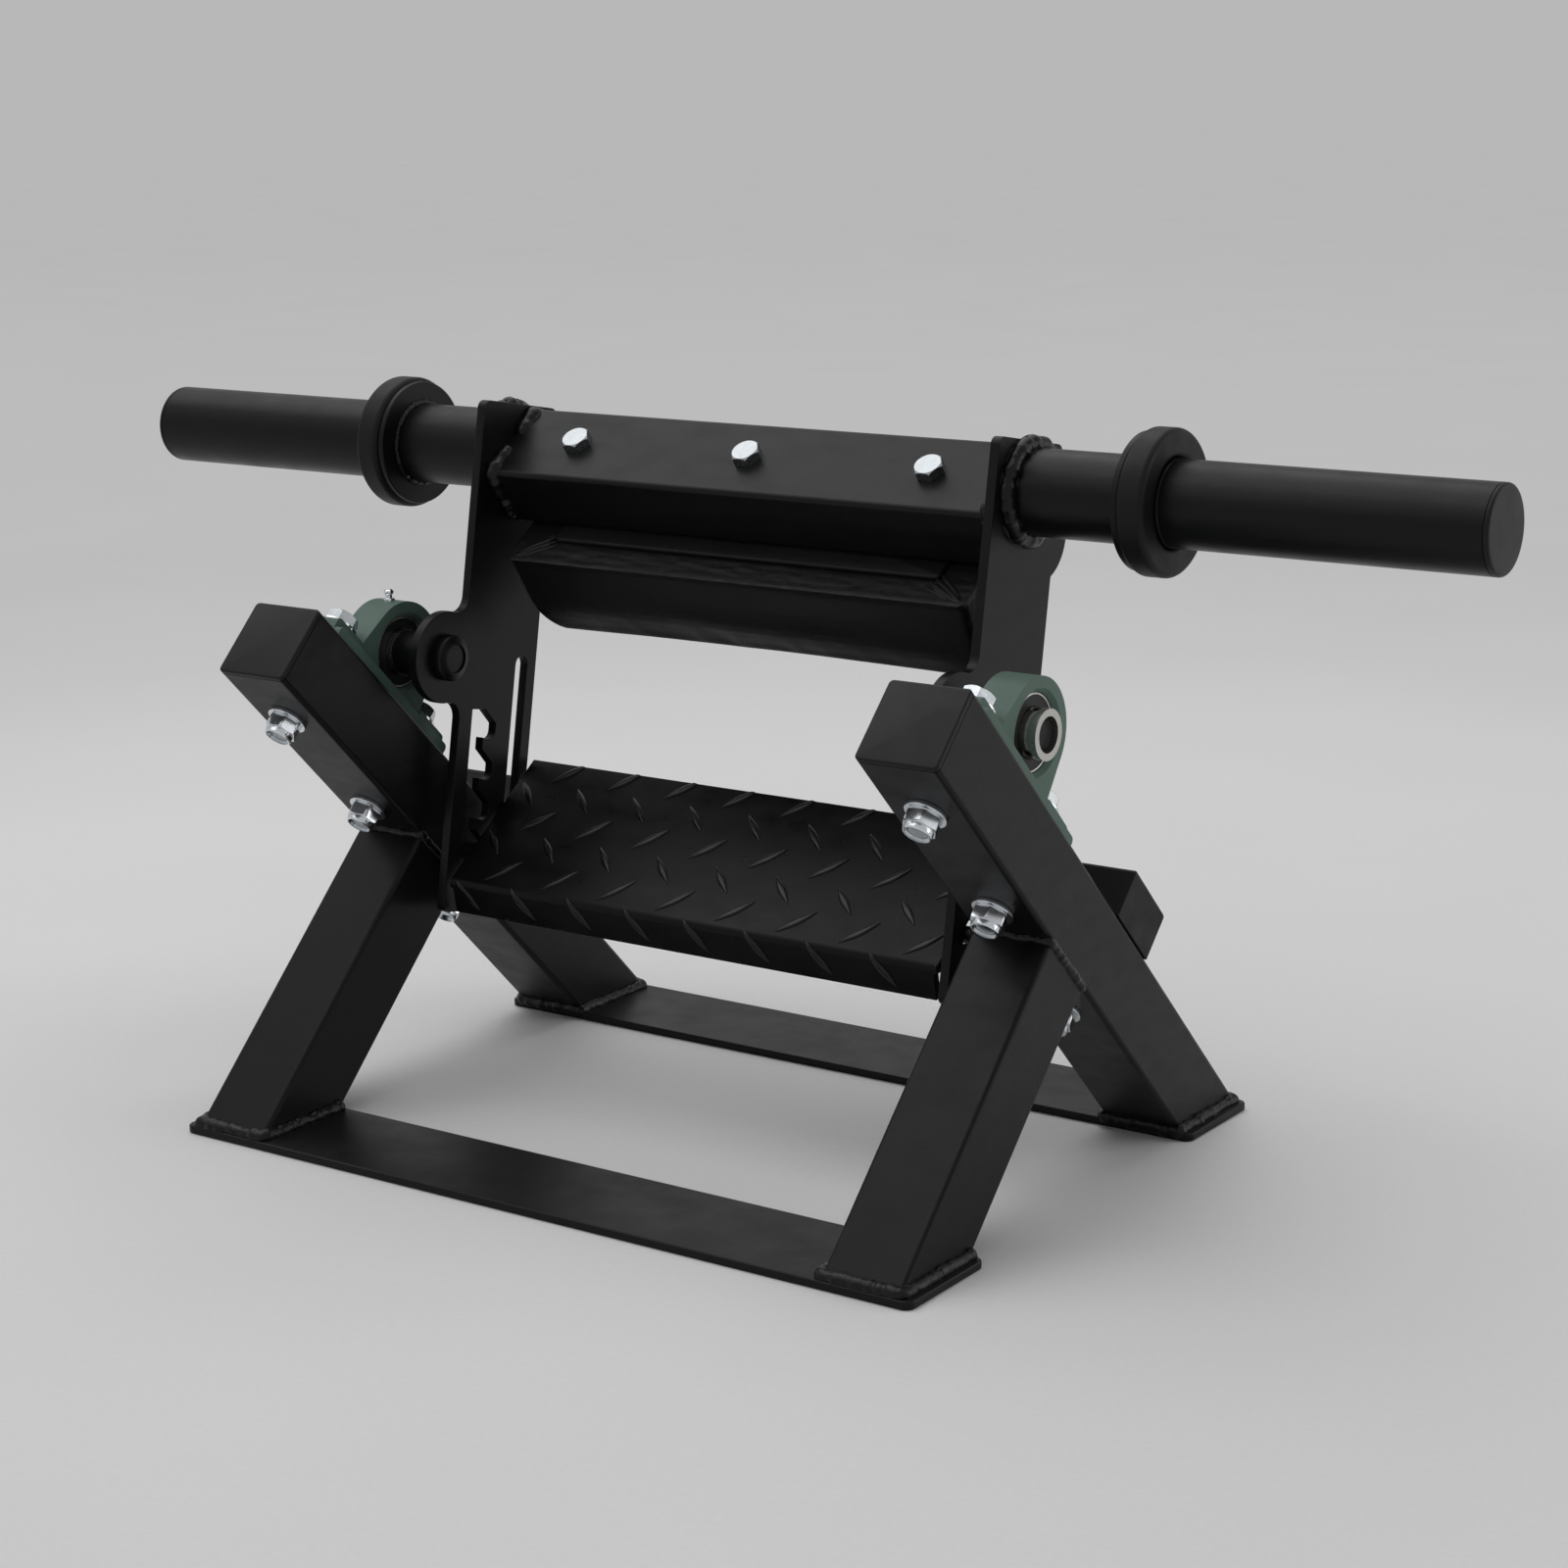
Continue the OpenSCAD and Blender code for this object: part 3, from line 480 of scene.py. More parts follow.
class Bench:
    """Modelling steps on one piece at a time, in the order a hand would take them."""

    @staticmethod
    def pick(*pieces: bpy.types.Object) -> None:
        """Select only these pieces and make the first one active.

        Args:
            pieces: what is selected.
        """
        bpy.ops.object.select_all(action="DESELECT")
        for piece in pieces:
            piece.select_set(True)
        bpy.context.view_layer.objects.active = pieces[0]

    @staticmethod
    def named(name: str) -> bpy.types.Object:
        """Name the primitive that was just added and apply its place.

        Args:
            name: the piece's name.

        Returns:
            The named piece.
        """
        piece = bpy.context.active_object
        piece.name = name
        piece.data.name = name
        bpy.ops.object.transform_apply(location=True, rotation=True, scale=True)
        return piece

    @staticmethod
    def block(name: str, size: Place, centre: Place) -> bpy.types.Object:
        """A box.

        Args:
            name: the piece's name.
            size: its sides.
            centre: its middle.

        Returns:
            The new piece.
        """
        bpy.ops.object.select_all(action="DESELECT")
        bpy.ops.mesh.primitive_cube_add(size=1.0, location=centre, scale=size)
        return Bench.named(name)

    @staticmethod
    def drum(
        name: str, radius: float, depth: float, centre: Place = (0.0, 0.0, 0.0), sides: int = 64
    ) -> bpy.types.Object:
        """A cylinder along Z.

        Args:
            name: the piece's name.
            radius: its radius over the corners.
            depth: its height.
            centre: its middle.
            sides: number of sides.

        Returns:
            The new piece.
        """
        bpy.ops.object.select_all(action="DESELECT")
        bpy.ops.mesh.primitive_cylinder_add(vertices=sides, radius=radius, depth=depth, location=centre)
        return Bench.named(name)

    @staticmethod
    def mark(piece: bpy.types.Object, test: Test, kind: str = "FACE") -> None:
        """Enter edit mode with the faces or edges selected that pass a test.

        Args:
            piece: the piece to work on.
            test: takes a face's centre and normal, or an edge's middle and direction.
            kind: FACE or EDGE.
        """
        Bench.pick(piece)
        bpy.ops.object.mode_set(mode="EDIT")
        bpy.ops.mesh.select_mode(type=kind)
        bpy.ops.mesh.select_all(action="DESELECT")
        bpy.ops.object.mode_set(mode="OBJECT")
        mesh = piece.data
        if kind == "FACE":
            for polygon in mesh.polygons:
                polygon.select = test(polygon.center, polygon.normal)
        else:
            for edge in mesh.edges:
                start, end = (mesh.vertices[i].co for i in edge.vertices)
                edge.select = test((start + end) / 2, (end - start).normalized())
        bpy.ops.object.mode_set(mode="EDIT")

    @staticmethod
    def leave() -> None:
        """Go back to object mode."""
        bpy.ops.object.mode_set(mode="OBJECT")

    @staticmethod
    def inset(piece: bpy.types.Object, test: Test, width: float, depth: float = 0.0) -> None:
        """Inset the faces that pass a test, and sink or raise them.

        Args:
            piece: the piece to work on.
            test: takes a face's centre and normal.
            width: width of the new rim.
            depth: how far the faces rise, below zero to sink them.
        """
        Bench.mark(piece, test)
        bpy.ops.mesh.inset(thickness=width, depth=depth)
        Bench.leave()

    @staticmethod
    def extrude(piece: bpy.types.Object, test: Test, move: Place) -> None:
        """Extrude the faces that pass a test along a move.

        Args:
            piece: the piece to work on.
            test: takes a face's centre and normal.
            move: where the faces go.
        """
        Bench.mark(piece, test)
        bpy.ops.mesh.extrude_region_move(TRANSFORM_OT_translate={"value": move})
        Bench.leave()

    @staticmethod
    def bevel_edges(piece: bpy.types.Object, test: Test, width: float, segments: int = 3) -> None:
        """Bevel the edges that pass a test.

        Args:
            piece: the piece to work on.
            test: takes an edge's middle and direction.
            width: width of the bevel.
            segments: faces across the bevel.
        """
        Bench.mark(piece, test, "EDGE")
        bpy.ops.mesh.bevel(offset=width, segments=segments, profile=0.5)
        Bench.leave()

    @staticmethod
    def slice(piece: bpy.types.Object, point: Place, normal: Place, keep_below: bool = False) -> None:
        """Cut the whole piece by a plane.

        Args:
            piece: the piece to cut.
            point: a point of the plane.
            normal: the plane's normal.
            keep_below: remove what lies on the normal's side and close the cut.
        """
        Bench.mark(piece, lambda centre, direction: True)
        bpy.ops.mesh.bisect(plane_co=point, plane_no=normal, use_fill=keep_below, clear_outer=keep_below)
        Bench.leave()

    @staticmethod
    def modify(piece: bpy.types.Object, kind: str, **settings: object) -> None:
        """Add a modifier with these settings and apply it.

        Args:
            piece: the piece to work on.
            kind: the modifier's type.
            settings: the modifier's settings by name.
        """
        Bench.pick(piece)
        modifier = piece.modifiers.new(kind.title(), kind)
        for key, value in settings.items():
            setattr(modifier, key, value)
        bpy.ops.object.modifier_apply(modifier=modifier.name)

    @staticmethod
    def combine(piece: bpy.types.Object, tool: bpy.types.Object, operation: str) -> None:
        """Join, cut or trim a piece by a helper piece, which is then deleted."""
        Bench.modify(piece, "BOOLEAN", operation=operation, object=tool, solver="EXACT")
        Bench.discard(tool)

    @staticmethod
    def round_edges(piece: bpy.types.Object, width: float, segments: int = 2, angle: float = 30.0) -> None:
        """Round every edge that is sharper than an angle in degrees.

        Args:
            piece: the piece to work on.
            width: width of the rounding.
            segments: faces across the rounding.
            angle: the angle in degrees.
        """
        Bench.modify(
            piece,
            "BEVEL",
            width=width,
            segments=segments,
            limit_method="ANGLE",
            angle_limit=math.radians(angle),
            use_clamp_overlap=True,
            miter_outer="MITER_ARC",
        )

    @staticmethod
    def smooth(piece: bpy.types.Object, angle: float = 35.0) -> bpy.types.Object:
        """Shade smooth over edges flatter than an angle in degrees.

        Args:
            piece: the piece to work on.
            angle: the angle in degrees.

        Returns:
            The same piece.
        """
        Bench.pick(piece)
        bpy.ops.object.shade_smooth_by_angle(angle=math.radians(angle))
        return piece

    @staticmethod
    def copy(piece: bpy.types.Object, matrix: Matrix | None = None) -> bpy.types.Object:
        """A copy with its own mesh, moved by a matrix.

        Args:
            piece: what to copy.
            matrix: where the copy's mesh goes.

        Returns:
            The copy.
        """
        twin = piece.copy()
        twin.data = piece.data.copy()
        bpy.context.scene.collection.objects.link(twin)
        if matrix is not None:
            Bench.settle(twin, matrix)
        return twin

    @staticmethod
    def settle(piece: bpy.types.Object, matrix: Matrix) -> bpy.types.Object:
        """Move a piece's mesh, turning its faces out again if the matrix mirrors.

        Args:
            piece: the piece.
            matrix: the move.

        Returns:
            The same piece.
        """
        piece.data.transform(matrix)
        if matrix.to_3x3().determinant() < 0:
            piece.data.flip_normals()
        piece.data.update()
        return piece

    @staticmethod
    def join(name: str, pieces: Sequence[bpy.types.Object]) -> bpy.types.Object:
        """Join pieces into the first one.

        Args:
            name: the joined piece's name.
            pieces: the pieces.

        Returns:
            The joined piece.
        """
        Bench.pick(*pieces)
        if len(pieces) > 1:
            bpy.ops.object.join()
        piece = bpy.context.active_object
        piece.name = name
        piece.data.name = name
        return piece

    @staticmethod
    def discard(piece: bpy.types.Object) -> None:
        """Delete a helper piece.

        Args:
            piece: the helper, which goes with its mesh.
        """
        mesh = piece.data
        bpy.data.objects.remove(piece)
        bpy.data.meshes.remove(mesh)

    @staticmethod
    def from_solid(node: str, name: str, width: float, segments: int = 2) -> bpy.types.Object:
        """A copy of a solid's mesh, merged and with its edges rounded.

        Args:
            node: the solid's name.
            name: the new piece's name.
            width: width of the rounding in millimetres.
            segments: faces across the rounding.

        Returns:
            The new piece.
        """
        piece = Bench.copy(frame["nodes"][node])
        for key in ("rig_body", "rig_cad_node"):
            del piece[key]
        piece.parent = None
        Bench.join(name, [piece])
        bpy.ops.object.mode_set(mode="EDIT")
        bpy.ops.mesh.select_all(action="SELECT")
        bpy.ops.mesh.remove_doubles(threshold=1e-6)
        bpy.ops.mesh.dissolve_limited(angle_limit=math.radians(0.6))
        bpy.ops.object.mode_set(mode="OBJECT")
        if piece.data.has_custom_normals:
            bpy.ops.mesh.customdata_custom_splitnormals_clear()
        if width > 0:
            Bench.round_edges(piece, width * MM, segments)
        Bench.smooth(piece)
        Bench.modify(piece, "WEIGHTED_NORMAL", keep_sharp=True)
        return piece


def dress(
    piece: bpy.types.Object,
    body: Body,
    finish: Finish,
    stands_for: Iterable[str] = (),
) -> bpy.types.Object:
    """Give a finished piece its material, body and slot.

    Args:
        piece: the piece, in place in the shared frame.
        body: what it rides on.
        finish: its surface.
        stands_for: solids that it replaces.

    Returns:
        The same piece.
    """
    piece.data.materials.clear()
    piece.data.materials.append(finish.material())
    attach(piece, body.value)
    nodes = list(stands_for)
    if nodes:
        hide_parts(*nodes)
    log.info("made %s with %d faces on %s", piece.name, len(piece.data.polygons), body.value)
    return piece


def coat(node: str, finish: Finish) -> None:
    """Put a finish on a solid that stays as it is.

    Args:
        node: the solid's name.
        finish: its surface.
    """
    solid = frame["nodes"][node]
    for holder in solid.material_slots:
        holder.material = finish.material()
    log.info("coated %s with %s", node, finish.name)


# Places


@dataclass(frozen=True)
class Layout:
    """Driving sizes in millimetres and the frames that the sub-assemblies are built in."""

    leg_w: float = 50.0
    leg_l: float = 406.0
    leg_lean: float = 45.0
    leg_x: float = 222.0
    leg_corner: float = 3.0
    bar_t: float = 5.0
    base_y: float = 190.0
    rear_margin: float = 1.5
    front_margin: float = 3.5
    bearing_k: float = 91.5
    bearing_h: float = 33.3
    bolt_pitch: float = 95.0
    bumper_k: float = 244.0
    frame_lean: float = 10.2
    plate_in: float = 177.5
    plate_out: float = 183.5
    tube_y: float = 57.6
    tube_z: float = 120.4
    tube_w: float = 60.0
    tube_h: float = 40.0
    tube_tilt: float = 45.0
    sleeve_y: float = 52.5
    sleeve_z: float = 128.4
    sleeve_r: float = 24.15
    sleeve_end: float = 458.5
    root_r: float = 24.45
    collar_in: float = 255.0
    rod_y: float = 46.8
    rod_z: float = -119.7
    rod_rise: float = 26.0
    rod_run: float = 25.7

    @staticmethod
    def at(x: float, y: float, z: float) -> Matrix:
        """A move in millimetres."""
        return Matrix.Translation((x, y, z))

    @staticmethod
    def turn(degrees: float, axis: str = "X") -> Matrix:
        """A turn about an axis."""
        return Matrix.Rotation(math.radians(degrees), 4, axis)

    @property
    def metres(self) -> Matrix:
        """From millimetres to metres."""
        return Matrix.Scale(MM, 4)

    @property
    def foot_half(self) -> float:
        """Half of a leg's slanted footprint along Y."""
        return self.leg_w / 2 / math.sin(math.radians(self.leg_lean))

    @property
    def rear_foot_y(self) -> float:
        """Y of the long legs' middle on the rear bar."""
        return self.base_y - self.rear_margin - self.foot_half

    @property
    def front_foot_y(self) -> float:
        """Y of the short legs' middle on the front bar."""
        return -self.base_y + self.front_margin + self.foot_half

    @property
    def leg_top(self) -> tuple[float, float]:
        """Y and Z of the middle of a long leg's upper end.

        Returns:
            Y and Z in millimetres.
        """
        lean = math.radians(self.leg_lean)
        return (
            self.rear_foot_y - self.leg_l * math.cos(lean),
            self.bar_t + self.leg_l * math.sin(lean),
        )

    @property
    def short_k(self) -> float:
        """Distance down the long leg to the middle of the short one."""
        return self.leg_l - (self.rear_foot_y - self.front_foot_y) * math.cos(math.radians(self.leg_lean))

    @property
    def pivot(self) -> tuple[float, float]:
        """Y and Z of the bearings' axis.

        Returns:
            Y and Z in millimetres.
        """
        lean = math.radians(self.leg_lean)
        stand = self.leg_w / 2 + self.bearing_h
        y, z = self.leg_top
        return (
            y + self.bearing_k * math.cos(lean) + stand * math.sin(lean),
            z - self.bearing_k * math.sin(lean) + stand * math.cos(lean),
        )

    @property
    def rod_tilt(self) -> float:
        """Tilt of the tread in the swinging frame, in degrees."""
        return math.degrees(math.atan2(self.rod_rise, self.rod_run))

    @property
    def rod_span(self) -> float:
        """Distance between the footplate's rods."""
        return math.hypot(self.rod_rise, self.rod_run)

    def leg(self, side: Side) -> Matrix:
        """The long leg's frame: Y runs down the leg, Z stands off its upper face."""
        y, z = self.leg_top
        return self.metres @ self.at(side.value * self.leg_x, y, z) @ self.turn(-self.leg_lean)

    def bearing(self, side: Side) -> Matrix:
        """The bearing's frame: its origin is the bearing's middle, Z stands off the leg."""
        return self.leg(side) @ self.at(0, self.bearing_k, self.leg_w / 2 + self.bearing_h)

    def swing(self) -> Matrix:
        """The swinging frame, with the axle at its origin."""
        y, z = self.pivot
        return self.metres @ self.at(0, y, z) @ self.turn(-self.frame_lean)

    def tube(self) -> Matrix:
        """The cross tube's frame: the pad hangs along -Z."""
        return self.swing() @ self.at(0, self.tube_y, self.tube_z) @ self.turn(self.tube_tilt)

    def sleeve(self, side: Side) -> Matrix:
        """The weight sleeve's frame: Z runs out along the sleeve."""
        return self.swing() @ self.at(0, self.sleeve_y, self.sleeve_z) @ self.turn(90.0 * side.value, "Y")

    def axle(self, side: Side) -> Matrix:
        """The axle's frame: Z runs out along the axle."""
        return self.swing() @ self.turn(90.0 * side.value, "Y")

    def tread(self) -> Matrix:
        """The tread's frame: its origin is the front rod, Y runs to the rear rod."""
        return self.swing() @ self.at(0, self.rod_y, self.rod_z) @ self.turn(self.rod_tilt)


LAYOUT = Layout()


# Welds


@dataclass(frozen=True)
class WeldBead:
    """A lumpy bead laid along a path of points."""

    size: float = 5.0
    pitch: float = 3.0
    skin: float = 0.85
    thin: float = 0.84
    fat: float = 1.12
    stray: float = 0.08
    squash: float = 0.92

    def samples(self, path: Sequence[Vector], closed: bool) -> list[tuple[Vector, Vector]]:
        """Evenly spaced points and directions along a path.

        Args:
            path: the path's corners.
            closed: whether the last corner joins the first.

        Returns:
            Pairs of point and direction.
        """
        corners = list(path) + ([path[0]] if closed else [])
        found = []
        rest = 0.0
        for start, end in zip(corners, corners[1:]):
            span = (end - start).length
            if span < 1e-6:
                continue
            way = (end - start) / span
            while rest < span:
                found.append((start + way * rest, way))
                rest += self.pitch
            rest -= span
        return found

    def lay(
        self,
        name: str,
        path: Sequence[Vector],
        matrix: Matrix,
        seed: int,
        closed: bool = False,
    ) -> bpy.types.Object:
        """Lay the bead.

        Args:
            name: the piece's name.
            path: the path's corners in the matrix's frame.
            matrix: that frame.
            seed: number that settles the bead's unevenness.
            closed: whether the path is a loop.

        Returns:
            The bead as one closed skin.
        """
        dice = random.Random(seed)
        bpy.ops.object.select_all(action="DESELECT")
        bpy.ops.mesh.primitive_uv_sphere_add(segments=12, ring_count=8, radius=1.0)
        ripple = Bench.named(name + "_ripple")
        ripples = []
        for point, way in self.samples(path, closed):
            size = self.size * dice.uniform(self.thin, self.fat)
            lean = way.to_track_quat("X", "Z").to_matrix().to_4x4()
            drift = Vector([dice.uniform(-self.stray, self.stray) * self.size for _ in range(3)])
            stretch = Matrix.Diagonal((size * self.squash, size, size, 1.0))
            ripples.append(Bench.copy(ripple, Matrix.Translation(point + drift) @ lean @ stretch))
        Bench.discard(ripple)
        bead = Bench.join(name, ripples)
        Bench.modify(bead, "REMESH", mode="VOXEL", voxel_size=self.skin, adaptivity=0.0)
        Bench.modify(bead, "SMOOTH", factor=0.6, iterations=6)
        Bench.smooth(bead, 180.0)
        return Bench.settle(bead, matrix)


def ring_path(radius: float, z: float, steps: int = 72) -> list[Vector]:
    """Corners of a circle round Z."""
    turns = [2 * math.pi * i / steps for i in range(steps)]
    return [Vector((radius * math.cos(a), radius * math.sin(a), z)) for a in turns]


# Base


@dataclass
class Base:
    """Foot bars, legs, end caps, bumpers and their welds."""

    edge: float = 1.2
    cap_t: float = 3.5
    cap_gap: float = 0.5
    cap_round: float = 1.3
    cap_step: float = 1.4
    plug: float = 14.0
    bead: WeldBead = WeldBead(4.8)
    fine_bead: WeldBead = WeldBead(3.6, 2.6)
    bead_lift: float = 0.6
    bead_reach: float = 184.6
    rear_bead_shift: float = -0.5
    front_bead_shift: float = -3.5
    knee_inset: float = 1.5

    def build(self) -> None:
        """Make the base's pieces."""
        for where in ("front", "rear"):
            node = f"foot_bar_{where}"
            bar = Bench.from_solid(node, f"steel_bar_{where}", self.edge, 3)
            dress(bar, Body.BASE, BLACK_COAT, [node])
        for side in Side:
            for kind in ("long_leg", "short_leg"):
                coat(f"{kind}_{side.word}", BLACK_COAT)
            self.end_cap(side)
            self.bumper(side)
            self.foot_welds(side)
            self.knee_weld(side)

    def end_cap(self, side: Side) -> None:
        """Cap in the open top end of a long leg, with a groove where it meets the tube.

        Args:
            side: the machine's side.
        """
        width, height = LAYOUT.leg_w, self.cap_t - self.cap_gap
        cap = Bench.block(f"leg_end_cap_{side.word}", (width, height, width), (0, height / 2, 0))
        Bench.bevel_edges(cap, lambda middle, way: abs(way.y) > SQUARE, LAYOUT.leg_corner, 6)
        Bench.bevel_edges(
            cap, lambda middle, way: middle.y < HAIR and abs(way.y) < 1 - SQUARE, self.cap_round, 4
        )
        Bench.inset(cap, lambda centre, normal: normal.y > SQUARE, self.cap_step)
        Bench.extrude(
            cap,
            lambda centre, normal: normal.y > SQUARE and centre.xz.length < CORE,
            (0, self.plug + self.cap_gap, 0),
        )
        Bench.smooth(cap, 40.0)
        Bench.settle(cap, LAYOUT.leg(side))
        dress(cap, Body.BASE, BLACK_PLASTIC, [f"leg_cap_{side.word}"])

    def bumper(self, side: Side) -> None:
        """Rubber block that stops the swinging frame.

        Args:
            side: the machine's side.
        """
        node = f"bumper_{side.word}"
        block = Bench.from_solid(node, f"rubber_stop_{side.word}", self.edge, 3)
        dress(block, Body.BASE, BLACK_RUBBER, [node])

    def foot_welds(self, side: Side) -> None:
        """Beads round a long and a short leg on their foot bars.

        Args:
            side: the machine's side.
        """
        half = LAYOUT.leg_w / 2
        x = side.value * LAYOUT.leg_x
        z = LAYOUT.bar_t + self.bead_lift
        for kind, way, middle, shift, seed in (
            ("rear", 1, LAYOUT.rear_foot_y, self.rear_bead_shift, 11),
            ("front", -1, LAYOUT.front_foot_y, self.front_bead_shift, 23),
        ):
            far = way * self.bead_reach
            near = middle - way * LAYOUT.foot_half + shift
            path = [
                Vector((x + half, near, z)),
                Vector((x + half, far, z)),
                Vector((x - half, far, z)),
                Vector((x - half, near, z)),
            ]
            name = f"foot_weld_{kind}_{side.word}"
            bead = self.bead.lay(name, path, LAYOUT.metres, seed + side.value, closed=kind == "rear")
            dress(bead, Body.BASE, WELD_COAT)

    def knee_weld(self, side: Side) -> None:
        """Bead where the short leg meets the long one.

        Args:
            side: the machine's side.
        """
        half = LAYOUT.leg_w / 2 - self.knee_inset
        z = -LAYOUT.leg_w / 2
        low, high = LAYOUT.short_k - LAYOUT.leg_w / 2, LAYOUT.short_k + LAYOUT.leg_w / 2
        path = [
            Vector((half, low, z)),
            Vector((half, high, z)),
            Vector((-half, high, z)),
            Vector((-half, low, z)),
        ]
        name = f"knee_weld_{side.word}"
        bead = self.fine_bead.lay(name, path, LAYOUT.leg(side), 37 + side.value, closed=True)
        dress(bead, Body.BASE, WELD_COAT)


# Fasteners


@dataclass(frozen=True)
class LockNut:
    """Hex nut with a round collar that is recessed at its mouth, standing on Z."""

    across: float = 18.0
    height: float = 12.0
    hex_share: float = 0.7
    hole: float = 12.1
    collar_r: float = 8.3
    collar_round: float = 1.0
    sunk: float = 1.0
    chamfer: float = 1.1
    chamfer_share: float = 0.985
    mouth_w: float = 1.1
    mouth_t: float = 1.4

    def build(self, name: str) -> bpy.types.Object:
        """Model one nut.

        Args:
            name: the piece's name.

        Returns:
            The nut, with its seat at the origin.
        """
        hex_h = self.height * self.hex_share
        corner = self.across / 2 / math.cos(math.pi / 6)
        nut = Bench.drum(name, corner, hex_h, (0, 0, hex_h / 2), 6)
        cutter = Bench.drum(f"{name}_chamfer", corner * self.chamfer_share, hex_h, (0, 0, hex_h / 2))
        Bench.bevel_edges(cutter, level, self.chamfer, 2)
        Bench.combine(nut, cutter, "INTERSECT")
        collar_h = self.height - hex_h + self.sunk
        collar = Bench.drum(f"{name}_collar", self.collar_r, collar_h, (0, 0, self.height - collar_h / 2))
        Bench.bevel_edges(collar, lambda middle, way: middle.z > self.height - HAIR, self.collar_round)
        Bench.combine(nut, collar, "UNION")
        bore = Bench.drum(f"{name}_bore", self.hole / 2, self.height * 3, (0, 0, 0), 48)
        Bench.combine(nut, bore, "DIFFERENCE")
        mouth_r = self.hole / 2 + self.mouth_w
        mouth = Bench.drum(f"{name}_mouth", mouth_r, self.mouth_t * 2, (0, 0, self.height), 48)
        Bench.combine(nut, mouth, "DIFFERENCE")
        return Bench.smooth(nut, 30.0)


@dataclass
class Fasteners:
    """Bolts, washers and lock nuts of bearings, bumpers and pad."""

    washer_t: float = 2.5
    edge: float = 0.35
    twist: float = 17.0
    nut: LockNut = LockNut()

    def build(self) -> None:
        """Make the fasteners."""
        for node, name in (
            ("housing_bolts", "bearing_hex_bolts"),
            ("pad_bolts", "pad_hex_bolts"),
            ("bumper_studs", "stop_studs"),
            ("housing_washers", "bearing_washers"),
            ("bumper_washers", "stop_washers"),
        ):
            piece = Bench.from_solid(node, name, self.edge)
            body = Body.SWING if node == "pad_bolts" else Body.BASE
            dress(piece, body, DULL_ZINC if node.endswith("_bolts") else ZINC, [node])
        k = LAYOUT.bearing_k
        half = LAYOUT.bolt_pitch / 2
        self.nuts("bearing_lock_nuts", (k - half, k + half), "housing_nuts")
        self.nuts("stop_lock_nuts", (LAYOUT.bumper_k,), "bumper_nuts")
        coat("pad_tee_nuts", ZINC)
        coat("bearing_set_screws", DARK_STEEL)

    def nuts(self, name: str, places: Sequence[float], node: str) -> None:
        """Set lock nuts under both legs.

        Args:
            name: the joined piece's name.
            places: distances down the leg.
            node: the solid that they stand for.
        """
        model = self.nut.build(name + "_model")
        copies = []
        for side in Side:
            for k in places:
                seat = LAYOUT.at(0, k, -LAYOUT.leg_w / 2 - self.washer_t)
                spin = LAYOUT.turn(self.twist * (k % 7) * side.value, "Z")
                copies.append(Bench.copy(model, LAYOUT.leg(side) @ seat @ LAYOUT.turn(180) @ spin))
        Bench.discard(model)
        dress(Bench.join(name, copies), Body.BASE, ZINC, [node])


# Bearings


